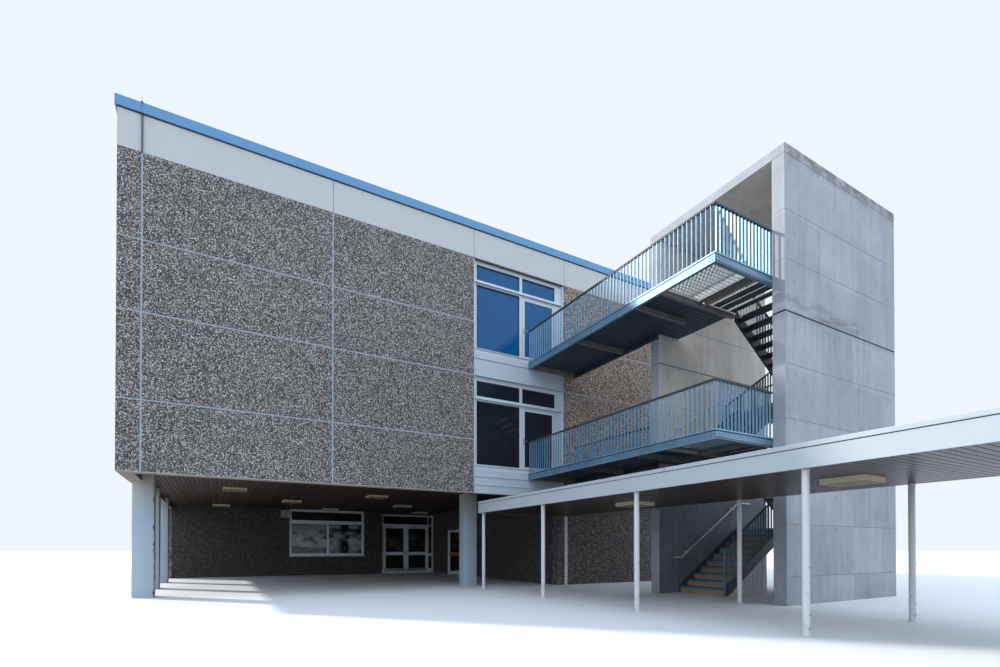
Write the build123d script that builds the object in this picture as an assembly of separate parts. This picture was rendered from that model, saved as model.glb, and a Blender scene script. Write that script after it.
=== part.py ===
"""A two-storey school wing over an open ground-floor hall, with a stair tower and a covered way."""
import os
from math import hypot

from build123d import *

# Grid of the main block: X along the front and Y into the block, both from its front left corner, Z up
EDGE_PANEL = 450
MODULE = 4155
GLAZED_STRIP = 3410
MODULES_EACH_SIDE = 2
MODULES_DEEP = 5

# Levels
STOREY = 3600
CLADDING_BOTTOM = 2940
FIRST_FLOOR = 3660
SPANDREL = 1630
WINDOW_HEIGHT = 1830
FASCIA = 870
COPING = 230
COPING_LIP = 50
HALL_CEILING = 3140
CEILING_BOARD = 60
FLOOR_SLAB = 250
GROUND_SLAB = 50

# Walls and windows
WALL = 300
WINDOW_WIDTH = 3300
WINDOW_TOP_LIGHT_SHARE = 0.25
GROUND_SILL = 900
GROUND_WINDOW = 1700
FRAME_FACE = 70
FRAME_DEPTH = 80
FRAME_SETBACK = 90
PANE = 24

# Open hall
HALL_DEPTH = 11450
HALL_SIDE_X = 12100
PILLAR = 460
SIDE_PILLAR = 300
PILLAR_ROW_X = 95
PILLAR_ROW_Y = 1720
PILLARS_IN_ROW = 3
RIGHT_PILLAR_X = 9270
HALL_WINDOW_X = 4885
HALL_WINDOW_WIDTH = 3460
HALL_WINDOW_SILL = 920
HALL_WINDOW_HEAD = 3095
HALL_WINDOW_BAND = 400
HALL_WINDOW_FACE = 105
HALL_WINDOW_TRANSOM = 165
HALL_WINDOW_MULLION = 90
HALL_WINDOW_SETBACK = 45
SPEAKER = 340
SPEAKER_DEPTH = 260
SPEAKER_BESIDE_WINDOW = 30
SPEAKER_BELOW_CEILING = 120
LIGHT = 650
LIGHT_HEIGHT = 95
LIGHT_FIRST_X = 2430
LIGHT_PITCH_X = 4450
LIGHT_ROW_SHIFT = 160
LIGHT_FIRST_Y = 3940
LIGHT_BEFORE_WALL = 710
LIGHT_PLACES = ((0, 0), (1, 0), (0.5, 1), (1.5, 1), (0, 2), (1, 2), (2, 2))

# Doors
DOOR_END_X = 9230
DOOR_SETBACK = 200
LEFT_SIDE_LIGHT = 140
RIGHT_SIDE_LIGHT = 320
DOOR_LEAF_TOP = 2430
DOOR_FRAME_TOP = 3015
DOOR_BAR = 90
DOOR_SILL = 46
LEAF = 50
LEAF_RAIL = 125
LEAF_MID_RAIL = 165
LEAF_MID_HEIGHT = 865
LEAF_GAP = 8
SIDE_LEAF_RAIL = 100
HINGE_OFFSET = 7
KNUCKLE = 110
KNUCKLES = 3
KNUCKLE_INSET = 180
SIDE_DOOR_Y = 7700
SIDE_DOOR_WIDTH = 930
SIDE_DOOR_HEIGHT = 2180
SIDE_JAMB = 58
PUSH_BAR_HEIGHT = 150
PUSH_BAR_DEPTH = 40
PUSH_BAR_LEVEL = 930

# Glazed strip in the front wall
STRIP_SETBACK = 110
STRIP_JAMB = 150
STRIP_MULLION = 100
STRIP_PANE = 1550
STRIP_DOOR = 1285
STRIP_SILL = 180
STRIP_DOOR_SILL = 60
STRIP_TRANSOM_LEVEL = 2140
STRIP_TRANSOM = 150
STRIP_TOP_LIGHT = 470
STRIP_DOOR_RAIL = 90

# Stair tower
TOWER_X = 12630
TOWER_LENGTH = 4830
TOWER_FRONT_Y = -7320
TOWER_BACK_Y = -3440
TOWER_WALL = 300
TOWER_HEIGHT = 9830
TOWER_ROOF = 215
LANDING_LENGTH = 790
STEP_GOING = 280
STEPS = 9
STAIR_WELL = 280
STRINGER = 40
STRINGER_DEPTH = 250
STRINGER_UP = 40
TREAD = 40
HANDRAIL_RADIUS = 20
HANDRAIL_OFF_WALL = 70
HANDRAIL_BRACKETS_AT = (0.1, 0.5, 0.9)

# Walkways and railings
WALKWAY_X = 10730
WALKWAY_BEAM = 200
WALKWAY_BEAM_WIDTH = 80
WALKWAY_CROSS_BEAMS = 7
DECK = 30
RAILING = 1030
RAILING_BAR = 40
RAILING_BAR_THICK = 8
RAILING_PITCH = 120
RAILING_CAP = 40
RAILING_FOOT = 15

# Covered way
CANOPY_X = 9000
CANOPY_WIDTH = 3380
CANOPY_BAYS = 4
CANOPY_BAY = 3250
CANOPY_POST_RADIUS = 50
CANOPY_POST_INSET = 120
CANOPY_FIRST_POST_Y = 40
CANOPY_OVERHANG = 140
CANOPY_SOFFIT = 2350
CANOPY_SLAB = 250
CANOPY_FASCIA = 345
CANOPY_FASCIA_THICK = 40
CANOPY_FASCIA_DROP = 15
CANOPY_LIGHTS_AT_BAYS = (1.49, 2.95)

# Under-stair screen and lightning rod
SLAT = 165
SLAT_GAP = 42
SLAT_THICK = 24
SLATS = 8
SCREEN_RAIL = 60
ROD_RADIUS = 8
ROD_ABOVE_COPING = 120
SEAT = 0.3

# Sizes that follow from the ones above
JOINT_1 = EDGE_PANEL
STRIP_LEFT = EDGE_PANEL + MODULES_EACH_SIDE * MODULE
STRIP_RIGHT = STRIP_LEFT + GLAZED_STRIP
LENGTH = STRIP_RIGHT + MODULES_EACH_SIDE * MODULE + EDGE_PANEL
DEPTH = 2 * EDGE_PANEL + MODULES_DEEP * MODULE
INNER_X = LENGTH - WALL
INNER_Y = DEPTH - WALL
CLADDING_TOP = CLADDING_BOTTOM + 2 * STOREY
FASCIA_TOP = CLADDING_TOP + FASCIA
SECOND_FLOOR = FIRST_FLOOR + STOREY
ROOF_TOP = SECOND_FLOOR + STOREY
FIRST_SLAB_BOTTOM = FIRST_FLOOR - FLOOR_SLAB
HALL_BACK = HALL_DEPTH + WALL
HALL_SIDE_INNER = HALL_SIDE_X + WALL
DOOR_Y = HALL_DEPTH + DOOR_SETBACK
PILLAR_PITCH = (HALL_DEPTH - PILLAR_ROW_Y) / PILLARS_IN_ROW
LIGHT_ROWS = 1 + max(row for column, row in LIGHT_PLACES)
LIGHT_PITCH_Y = (HALL_DEPTH - LIGHT_BEFORE_WALL - LIGHT_FIRST_Y) / (LIGHT_ROWS - 1)
TOWER_INNER_FRONT = TOWER_FRONT_Y + TOWER_WALL
TOWER_INNER_BACK = TOWER_BACK_Y - TOWER_WALL
TOWER_END = TOWER_X + TOWER_LENGTH
FLIGHT_WIDTH = (TOWER_INNER_BACK - TOWER_INNER_FRONT - STAIR_WELL) / 2
FLIGHT_FOOT_X = TOWER_X + LANDING_LENGTH
FLIGHT_HEAD_X = FLIGHT_FOOT_X + STEPS * STEP_GOING
CANOPY_LAST_POST_Y = CANOPY_FIRST_POST_Y - CANOPY_BAYS * CANOPY_BAY
FLOORS = (FIRST_FLOOR, SECOND_FLOOR)
STAIR_LEVELS = (0, FIRST_FLOOR / 2, FIRST_FLOOR, FIRST_FLOOR + STOREY / 2, SECOND_FLOOR)

# The part's own origin: the middle of its outline, on the ground
CENTRE_X = LENGTH / 2
CENTRE_Y = (CANOPY_LAST_POST_Y - CANOPY_OVERHANG + DEPTH + COPING_LIP) / 2

parts = {}


def block(x0, x1, y0, y1, z0, z1):
    """A box between two corners."""
    return Pos((x0 + x1) / 2, (y0 + y1) / 2, (z0 + z1) / 2) * Box(x1 - x0, y1 - y0, z1 - z0)


def post(x, y, z0, z1, radius):
    """A round upright."""
    return Pos(x, y, (z0 + z1) / 2) * Cylinder(radius, z1 - z0)


def ring(x0, x1, y0, y1, z0, z1, thick):
    """A rectangular band of walls, open in the middle."""
    outer = block(x0, x1, y0, y1, z0, z1)
    return outer - block(x0 + thick, x1 - thick, y0 + thick, y1 - thick, z0, z1)


def fused(shapes):
    """Touching pieces joined into one solid."""
    shapes = list(shapes)
    return shapes[0].fuse(*shapes[1:]) if len(shapes) > 1 else shapes[0]


def group(shapes):
    """Like pieces that do not touch, kept as separate solids of one node."""
    solids = []
    for shape in shapes:
        solids.extend(shape.solids())
    return Compound(children=solids)


def knuckles(x, y, z0, z1, reach):
    """Hinge knuckles on one upright axis, their barrels just clear of the leaf they carry."""
    radius = reach - SEAT
    span = z1 - z0 - 2 * KNUCKLE_INSET
    pitch = (span - KNUCKLE) / (KNUCKLES - 1)
    starts = [z0 + KNUCKLE_INSET + i * pitch for i in range(KNUCKLES)]
    return [post(x, y, z, z + KNUCKLE, radius) for z in starts]


def module_starts():
    """Left edges of the cladding modules along a side wall."""
    return [EDGE_PANEL + i * MODULE for i in range(MODULES_DEEP)]


def back_window_centres():
    """Centres of the back wall's windows: one to a module and one opposite the glazed strip."""
    left = [EDGE_PANEL + (i + 0.5) * MODULE for i in range(MODULES_EACH_SIDE)]
    right = [STRIP_RIGHT + (i + 0.5) * MODULE for i in range(MODULES_EACH_SIDE)]
    return left + [(STRIP_LEFT + STRIP_RIGHT) / 2] + right


def upper_sills():
    """Sill levels of the two upper storeys."""
    return [CLADDING_BOTTOM + SPANDREL + i * STOREY for i in range(2)]


def side_windows(with_ground, first=0):
    """Middle, sill and height of each window in a side wall."""
    middles = [start + MODULE / 2 for start in module_starts()]
    rows = [(m, sill, WINDOW_HEIGHT) for sill in upper_sills() for m in middles]
    if with_ground:
        rows += [(m, GROUND_SILL, GROUND_WINDOW) for m in middles[first:]]
    return rows


def window_frame(height):
    """One window in its own XZ plane, centred on X and standing on Z = 0: two mullions and a top light."""
    w = WINDOW_WIDTH / 2
    outer = block(-w, w, 0, FRAME_DEPTH, 0, height)
    third = (WINDOW_WIDTH - 4 * FRAME_FACE) / 3
    top_light = height * WINDOW_TOP_LIGHT_SHARE
    low_top = height - top_light - FRAME_FACE
    for i in range(3):
        x = -w + FRAME_FACE + i * (third + FRAME_FACE)
        outer -= block(x, x + third, 0, FRAME_DEPTH, FRAME_FACE, low_top)
        outer -= block(x, x + third, 0, FRAME_DEPTH, low_top + FRAME_FACE, height - FRAME_FACE)
    return outer


def window_pane(height):
    """The glass of one window, a sheet behind its frame."""
    w = WINDOW_WIDTH / 2
    return block(-w, w, FRAME_DEPTH, FRAME_DEPTH + PANE, 0, height)


def window_places():
    """Placement of every window in the side and back walls."""
    left = [(m, sill, h) for m, sill, h in side_windows(True, first_ground_module())]
    places = [(Pos(FRAME_SETBACK, m, sill) * Rot(0, 0, -90), h) for m, sill, h in left]
    for m, sill, h in side_windows(True):
        places.append((Pos(LENGTH - FRAME_SETBACK, m, sill) * Rot(0, 0, 90), h))
    for x in back_window_centres():
        for sill in upper_sills():
            places.append((Pos(x, DEPTH - FRAME_SETBACK, sill) * Rot(0, 0, 180), WINDOW_HEIGHT))
        places.append((Pos(x, DEPTH - FRAME_SETBACK, GROUND_SILL) * Rot(0, 0, 180), GROUND_WINDOW))
    return places


def first_ground_module():
    """First module of the left wall whose window lies wholly behind the hall."""
    return next(i for i, s in enumerate(module_starts()) if s + (MODULE - WINDOW_WIDTH) / 2 > HALL_BACK)


def outer_walls():
    """Clad walls of the block, with the window holes of the sides and the back."""
    cut = WINDOW_WIDTH / 2
    parts["front_wall_left"] = block(0, STRIP_LEFT, 0, WALL, CLADDING_BOTTOM, CLADDING_TOP)
    parts["front_wall_right"] = block(STRIP_RIGHT, LENGTH, 0, WALL, CLADDING_BOTTOM, CLADDING_TOP)
    upper = block(0, WALL, WALL, INNER_Y, CLADDING_BOTTOM, CLADDING_TOP)
    lower = block(0, WALL, HALL_DEPTH, INNER_Y, 0, CLADDING_BOTTOM)
    right = block(INNER_X, LENGTH, WALL, INNER_Y, 0, CLADDING_TOP)
    back = block(0, LENGTH, INNER_Y, DEPTH, 0, CLADDING_TOP)
    for m, sill, h in side_windows(False):
        upper -= block(0, WALL, m - cut, m + cut, sill, sill + h)
    for m, sill, h in side_windows(True, first_ground_module()):
        if sill == GROUND_SILL:
            lower -= block(0, WALL, m - cut, m + cut, sill, sill + h)
    for m, sill, h in side_windows(True):
        right -= block(INNER_X, LENGTH, m - cut, m + cut, sill, sill + h)
    for x in back_window_centres():
        back -= block(x - cut, x + cut, INNER_Y, DEPTH, GROUND_SILL, GROUND_SILL + GROUND_WINDOW)
        for sill in upper_sills():
            back -= block(x - cut, x + cut, INNER_Y, DEPTH, sill, sill + WINDOW_HEIGHT)
    parts["left_wall_upper"] = upper
    parts["left_wall_ground"] = lower
    parts["right_wall"] = right
    parts["back_wall"] = back
    parts["ground_front_wall"] = block(HALL_SIDE_X, INNER_X, WALL, 2 * WALL, 0, FIRST_SLAB_BOTTOM)
    parts["window_frames"] = group(place * window_frame(h) for place, h in window_places())
    parts["window_panes"] = group(place * window_pane(h) for place, h in window_places())


def roof_edge():
    """Fascia band round the top of the walls, with the coping over it."""
    parts["roof_fascia"] = ring(0, LENGTH, 0, DEPTH, CLADDING_TOP, FASCIA_TOP, WALL)
    lip = COPING_LIP
    width = WALL + 2 * lip
    cap = ring(-lip, LENGTH + lip, -lip, DEPTH + lip, FASCIA_TOP, FASCIA_TOP + COPING, width)
    parts["roof_coping"] = cap


def floors():
    """Floor slabs, roof slab and the hall's boarded ceiling."""
    tops = {"first_floor": FIRST_FLOOR, "second_floor": SECOND_FLOOR, "roof_slab": ROOF_TOP}
    for name, top in tops.items():
        parts[name] = block(WALL, INNER_X, WALL, INNER_Y, top - FLOOR_SLAB, top)
    behind = block(WALL, INNER_X, HALL_BACK, INNER_Y, 0, GROUND_SLAB)
    beside = block(HALL_SIDE_INNER, INNER_X, 2 * WALL, HALL_BACK, 0, GROUND_SLAB)
    parts["ground_floor"] = fused([behind, beside])
    top = HALL_CEILING + CEILING_BOARD
    ceiling = block(WALL, HALL_SIDE_X, WALL, HALL_DEPTH, HALL_CEILING, top)
    recess = block(DOOR_END_X, HALL_SIDE_X, HALL_DEPTH, DOOR_Y, HALL_CEILING, top)
    parts["hall_ceiling"] = fused([ceiling, recess])


def hall_pillars():
    """Pillars: a square one at the corner, slimmer ones behind it, and one by the glazed strip."""
    pillars = []
    for i in range(PILLARS_IN_ROW):
        y = PILLAR_ROW_Y + i * PILLAR_PITCH
        x1 = PILLAR_ROW_X + (SIDE_PILLAR if i else PILLAR)
        shaft = block(PILLAR_ROW_X, x1, y, y + PILLAR, 0, HALL_CEILING)
        pillars.append(shaft - block(0, WALL, y, y + PILLAR, CLADDING_BOTTOM, HALL_CEILING))
    x = RIGHT_PILLAR_X
    y = PILLAR_ROW_Y
    pillars.append(block(x, x + PILLAR, y, y + PILLAR, 0, HALL_CEILING))
    parts["hall_pillars"] = group(pillars)


def hall_walls():
    """Walls round the open hall, split at the doors."""
    wall = block(WALL, DOOR_END_X, HALL_DEPTH, HALL_BACK, 0, FIRST_SLAB_BOTTOM)
    x1 = HALL_WINDOW_X + HALL_WINDOW_WIDTH
    wall -= block(HALL_WINDOW_X, x1, HALL_DEPTH, HALL_BACK, HALL_WINDOW_SILL, HALL_WINDOW_HEAD)
    parts["hall_wall"] = wall
    over_double = block(DOOR_END_X, HALL_SIDE_X, DOOR_Y, HALL_BACK, DOOR_FRAME_TOP, FIRST_SLAB_BOTTOM)
    y0 = SIDE_DOOR_Y
    y1 = SIDE_DOOR_Y + SIDE_DOOR_WIDTH
    x0 = HALL_SIDE_X
    x1 = HALL_SIDE_INNER
    parts["hall_side_wall_near"] = block(x0, x1, 2 * WALL, y0, 0, FIRST_SLAB_BOTTOM)
    parts["hall_side_wall_far"] = block(x0, x1, y1, HALL_BACK, 0, FIRST_SLAB_BOTTOM)
    over_side = block(x0, x1, y0, y1, SIDE_DOOR_HEIGHT, FIRST_SLAB_BOTTOM)
    parts["door_lintels"] = group([over_double, over_side])


def hall_window():
    """Wide window with a band of glass over a thick transom and two panes below."""
    x0 = HALL_WINDOW_X
    x1 = x0 + HALL_WINDOW_WIDTH
    y0 = HALL_DEPTH + HALL_WINDOW_SETBACK
    y1 = y0 + FRAME_DEPTH
    f = HALL_WINDOW_FACE
    mid = (x0 + x1) / 2
    band_bottom = HALL_WINDOW_HEAD - f - HALL_WINDOW_BAND
    transom_bottom = band_bottom - HALL_WINDOW_TRANSOM
    half = HALL_WINDOW_MULLION / 2
    holes = [
        (x0 + f, mid - half, HALL_WINDOW_SILL + f, transom_bottom),
        (mid + half, x1 - f, HALL_WINDOW_SILL + f, transom_bottom),
        (x0 + f, x1 - f, band_bottom, HALL_WINDOW_HEAD - f)]
    frame = block(x0, x1, y0, y1, HALL_WINDOW_SILL, HALL_WINDOW_HEAD)
    for a, b, low, high in holes:
        frame -= block(a, b, y0, y1, low, high)
    parts["hall_window_frame"] = frame
    pane = block(x0, x1, y1, y1 + PANE, HALL_WINDOW_SILL, HALL_WINDOW_HEAD)
    parts["hall_window_glass"] = pane
    right = HALL_WINDOW_X - SPEAKER_BESIDE_WINDOW
    top = HALL_CEILING - SPEAKER_BELOW_CEILING
    parts["hall_speaker"] = block(
        right - SPEAKER, right, HALL_DEPTH - SPEAKER_DEPTH, HALL_DEPTH, top - SPEAKER, top)


def lights():
    """Square box lights under the hall ceiling, in staggered rows, and under the covered way."""
    spots = []
    for column, row in LIGHT_PLACES:
        x = LIGHT_FIRST_X + column * LIGHT_PITCH_X - row * LIGHT_ROW_SHIFT
        spots.append((x, LIGHT_FIRST_Y + row * LIGHT_PITCH_Y, HALL_CEILING))
    for bays in CANOPY_LIGHTS_AT_BAYS:
        spots.append((CANOPY_X + CANOPY_WIDTH / 2, CANOPY_FIRST_POST_Y - bays * CANOPY_BAY, CANOPY_SOFFIT))
    half = LIGHT / 2
    boxes = [block(x - half, x + half, y - half, y + half, z - LIGHT_HEIGHT, z) for x, y, z in spots]
    parts["box_lights"] = group(boxes)


def leaf_edges():
    """The hinge-side and meeting edges of the two hall leaves."""
    left = DOOR_END_X + LEFT_SIDE_LIGHT
    right = HALL_SIDE_X - RIGHT_SIDE_LIGHT
    middle = (left + right) / 2
    gap = LEAF_GAP
    return (left + gap, middle - gap), (middle + gap, right - gap)


def glazed_leaf(x0, x1, y0, z0, z1):
    """A framed leaf with a mid rail, facing -Y; returns the frame and its two panes."""
    frame = block(x0, x1, y0, y0 + LEAF, z0, z1)
    inner = (x0 + LEAF_RAIL, x1 - LEAF_RAIL)
    mid = z0 + LEAF_MID_HEIGHT
    spans = ((z0 + LEAF_MID_RAIL, mid), (mid + LEAF_MID_RAIL, z1 - LEAF_RAIL))
    panes = []
    for low, high in spans:
        frame -= block(inner[0], inner[1], y0, y0 + LEAF, low, high)
        middle = y0 + LEAF / 2
        panes.append(block(inner[0], inner[1], middle - PANE / 2, middle + PANE / 2, low, high))
    return frame, group(panes)


def hall_doors():
    """Double door of the hall with its side lights and transom light."""
    (la, lb), (ra, rb) = leaf_edges()
    y0 = DOOR_Y
    y1 = HALL_BACK
    opening = (la - LEAF_GAP, rb + LEAF_GAP)
    frame = block(DOOR_END_X, HALL_SIDE_X, y0, y1, 0, DOOR_FRAME_TOP)
    frame -= block(opening[0], opening[1], y0, y1, DOOR_SILL, DOOR_LEAF_TOP + LEAF_GAP)
    bar_top = DOOR_LEAF_TOP + LEAF_GAP + DOOR_BAR
    head = DOOR_FRAME_TOP - DOOR_BAR
    spans = [(opening[0], opening[1], bar_top, head)]
    right = (opening[1] + DOOR_BAR / 2, HALL_SIDE_X - DOOR_BAR)
    left = (DOOR_END_X + DOOR_BAR / 2, opening[0] - DOOR_BAR / 2)
    for a, b in (left, right):
        for low, high in ((DOOR_SILL + LEAF_MID_RAIL, LEAF_MID_HEIGHT),
                          (LEAF_MID_HEIGHT + LEAF_MID_RAIL, DOOR_LEAF_TOP), (bar_top, head)):
            spans.append((a, b, low, high))
    panes = []
    for a, b, low, high in spans:
        frame -= block(a, b, y0, y1, low, high)
        middle = (y0 + y1) / 2
        panes.append(block(a, b, middle - PANE / 2, middle + PANE / 2, low, high))
    z0 = DOOR_SILL + LEAF_GAP
    y = DOOR_Y + HINGE_OFFSET
    reach = hypot(LEAF_GAP, HINGE_OFFSET)
    barrels = [knuckles(x, DOOR_Y, z0, DOOR_LEAF_TOP, reach) for x in opening]
    parts["hall_door_frame"] = fused([frame, *barrels[0], *barrels[1]])
    parts["hall_door_lights"] = group(panes)
    for side, (a, b) in (("left", (la, lb)), ("right", (ra, rb))):
        leaf, glass = glazed_leaf(a, b, y, z0, DOOR_LEAF_TOP)
        parts["hall_door_leaf_" + side] = leaf
        parts["hall_door_glass_" + side] = glass


def side_door():
    """Side door of the hall: a frame in the side wall and a leaf standing open at a right angle."""
    y0 = SIDE_DOOR_Y
    y1 = SIDE_DOOR_Y + SIDE_DOOR_WIDTH
    x0 = HALL_SIDE_X
    x1 = HALL_SIDE_X + FRAME_DEPTH
    frame = block(x0, x1, y0, y1, 0, SIDE_DOOR_HEIGHT)
    frame -= block(x0, x1, y0 + SIDE_JAMB, y1 - SIDE_JAMB, DOOR_SILL, SIDE_DOOR_HEIGHT - SIDE_JAMB)
    width = SIDE_DOOR_WIDTH - 2 * SIDE_JAMB - 2 * LEAF_GAP
    right = HALL_SIDE_X - HINGE_OFFSET - LEAF_GAP
    y = SIDE_DOOR_Y + SIDE_JAMB + HINGE_OFFSET
    z0 = DOOR_SILL + LEAF_GAP
    z1 = SIDE_DOOR_HEIGHT - SIDE_JAMB - LEAF_GAP
    reach = hypot(HINGE_OFFSET, HINGE_OFFSET)
    barrels = knuckles(HALL_SIDE_X - LEAF_GAP, y - HINGE_OFFSET, z0, z1, reach)
    parts["side_door_frame"] = fused([frame, *barrels])
    leaf = block(right - width, right, y, y + LEAF, z0, z1)
    rail = SIDE_LEAF_RAIL
    a = right - width + rail
    b = right - rail
    leaf -= block(a, b, y, y + LEAF, z0 + LEAF_MID_RAIL, z1 - rail)
    parts["side_door_leaf"] = leaf
    middle = y + LEAF / 2
    parts["side_door_glass"] = block(
        a, b, middle - PANE / 2, middle + PANE / 2, z0 + LEAF_MID_RAIL, z1 - rail)
    low = PUSH_BAR_LEVEL
    parts["side_door_push_bar"] = block(
        a - rail / 2, b + rail / 2, y - PUSH_BAR_DEPTH, y, low, low + PUSH_BAR_HEIGHT)


def glazed_strip():
    """Glazed strip of the front: a fixed pane and a walkway door in each storey, over white sheets."""
    y0 = STRIP_SETBACK
    y1 = y0 + FRAME_DEPTH
    pane = (STRIP_LEFT + STRIP_JAMB, STRIP_LEFT + STRIP_JAMB + STRIP_PANE)
    door = (pane[1] + STRIP_MULLION, pane[1] + STRIP_MULLION + STRIP_DOOR)
    storey_top = CLADDING_TOP - SECOND_FLOOR
    frames = []
    glass = []
    doors = []
    spandrels = []
    for floor in FLOORS:
        transom = floor + STRIP_TRANSOM_LEVEL
        top = (transom + STRIP_TRANSOM, transom + STRIP_TRANSOM + STRIP_TOP_LIGHT)
        frame = block(STRIP_LEFT, STRIP_RIGHT, y0, y1, floor, floor + storey_top)
        lights = [(pane[0], pane[1], floor + STRIP_SILL, transom), (*pane, *top), (*door, *top)]
        for a, b, low, high in lights:
            frame -= block(a, b, y0, y1, low, high)
            middle = (y0 + y1) / 2
            glass.append(block(a, b, middle - PANE / 2, middle + PANE / 2, low, high))
        z0 = floor + STRIP_DOOR_SILL
        frame -= block(door[0], door[1], y0, y1, z0, transom)
        frames.append(frame)
        z1 = transom - LEAF_GAP
        a = door[0] + LEAF_GAP
        b = door[1] - LEAF_GAP
        leaf = block(a, b, y0, y0 + LEAF, z0, z1)
        rail = STRIP_DOOR_RAIL
        low = z0 + LEAF_MID_RAIL
        leaf -= block(a + rail, b - rail, y0, y0 + LEAF, low, z1 - rail)
        middle = y0 + LEAF / 2
        glass.append(block(a + rail, b - rail, middle - PANE / 2, middle + PANE / 2, low, z1 - rail))
        doors.append(leaf)
        low = floor + storey_top - STOREY
        spandrels.append(block(STRIP_LEFT, STRIP_RIGHT, y0 - FRAME_DEPTH, y1, low, floor))
    parts["strip_frames"] = group(frames)
    parts["strip_glass"] = group(glass)
    parts["walkway_doors"] = group(doors)
    parts["strip_spandrels"] = group(spandrels)


def tower():
    """Concrete stair tower: two walls and a roof, open at both ends."""
    x0 = TOWER_X
    x1 = TOWER_END
    top = TOWER_HEIGHT
    parts["tower_front_wall"] = block(x0, x1, TOWER_FRONT_Y, TOWER_INNER_FRONT, 0, top)
    parts["tower_back_wall"] = block(x0, x1, TOWER_INNER_BACK, TOWER_BACK_Y, 0, top)
    parts["tower_roof"] = block(x0, x1, TOWER_FRONT_Y, TOWER_BACK_Y, top, top + TOWER_ROOF)


def side_profile(points, y0, y1):
    """A plate of the given X, Z outline between two Y planes."""
    face = Plane.XZ * make_face(Polyline(*points, close=True))
    return Pos(0, y1, 0) * extrude(face, amount=y1 - y0, dir=(0, -1, 0))


def flight(rising, y0, low, high):
    """An open flight with plate stringers; rising is 1 towards +X and -1 towards -X."""
    rise = (high - low) / (STEPS + 1)
    start = FLIGHT_FOOT_X if rising > 0 else FLIGHT_HEAD_X
    run = STEPS * STEP_GOING * rising
    drop = STRINGER_DEPTH
    foot_low = low if low == 0 else low - drop
    up = STRINGER_UP
    end = start + run
    outline = [(start, foot_low), (start, low + rise + up), (end, high + up), (end, high - drop)]
    if low == 0:
        level = STEP_GOING / rise * (drop - rise)
        outline.append((start + rising * level, low))
    pieces = [side_profile(outline, y, y + STRINGER) for y in (y0, y0 + FLIGHT_WIDTH - STRINGER)]
    for i in range(STEPS):
        x = sorted((start + rising * i * STEP_GOING, start + rising * (i + 1) * STEP_GOING))
        top = low + (i + 1) * rise
        pieces.append(block(x[0], x[1], y0 + STRINGER, y0 + FLIGHT_WIDTH - STRINGER, top - TREAD, top))
    return fused(pieces)


def stairs():
    """Four flights in two turns, with a landing at each turn."""
    back = TOWER_INNER_BACK - FLIGHT_WIDTH
    front = TOWER_INNER_FRONT
    for i in range(4):
        rising = 1 if i % 2 == 0 else -1
        y0 = back if rising > 0 else front
        parts["stair_flight_%d" % (i + 1)] = flight(rising, y0, STAIR_LEVELS[i], STAIR_LEVELS[i + 1])
    landings = []
    for level in (STAIR_LEVELS[1], STAIR_LEVELS[3]):
        landings.append(block(
            FLIGHT_HEAD_X, TOWER_END, TOWER_INNER_FRONT, TOWER_INNER_BACK, level - WALKWAY_BEAM, level))
    parts["stair_landings"] = group(landings)


def walkway(top):
    """Steel walkway from the front wall to the tower and its landing inside, beams under a deck."""
    beam_top = top - DECK
    low = top - WALKWAY_BEAM
    y0 = TOWER_INNER_FRONT
    w = WALKWAY_BEAM_WIDTH
    deck = block(WALKWAY_X, TOWER_X, y0, 0, beam_top, top)
    landing = block(TOWER_X, FLIGHT_FOOT_X, y0, TOWER_INNER_BACK, beam_top, top)
    pieces = [deck, landing]
    for x in (WALKWAY_X, TOWER_X - w):
        pieces.append(block(x, x + w, y0, 0, low, beam_top))
    pieces.append(block(FLIGHT_FOOT_X - w, FLIGHT_FOOT_X, y0, TOWER_INNER_BACK, low, beam_top))
    pitch = (-y0 - w) / (WALKWAY_CROSS_BEAMS - 1)
    for i in range(WALKWAY_CROSS_BEAMS):
        y = y0 + i * pitch
        end = FLIGHT_FOOT_X if y + w < TOWER_INNER_BACK else TOWER_X
        pieces.append(block(WALKWAY_X, end, y, y + w, low, beam_top))
    return fused(pieces)


def bars(start, end):
    """Places of the bars between two ends, evenly spaced at about the railing's pitch."""
    count = max(2, round((end - start) / RAILING_PITCH))
    step = (end - start) / count
    return [start + (i + 0.5) * step for i in range(count)]


def railing_along_y(x, y0, y1, z):
    """A level railing of flat bars, running along Y, standing on a deck."""
    top = z + RAILING
    pieces = [
        block(x, x + RAILING_BAR, y0, y1, z, z + RAILING_FOOT),
        block(x, x + RAILING_BAR, y0, y1, top - RAILING_CAP, top)]
    for y in bars(y0, y1):
        t = RAILING_BAR_THICK / 2
        pieces.append(block(x, x + RAILING_BAR, y - t, y + t, z + RAILING_FOOT, top - RAILING_CAP))
    return fused(pieces)


def railing_along_x(y, x0, x1, z):
    """A level railing of flat bars, running along X, standing on a deck."""
    top = z + RAILING
    pieces = [
        block(x0, x1, y, y + RAILING_BAR, z, z + RAILING_FOOT),
        block(x0, x1, y, y + RAILING_BAR, top - RAILING_CAP, top)]
    for x in bars(x0, x1):
        t = RAILING_BAR_THICK / 2
        pieces.append(block(x - t, x + t, y, y + RAILING_BAR, z + RAILING_FOOT, top - RAILING_CAP))
    return fused(pieces)


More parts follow.
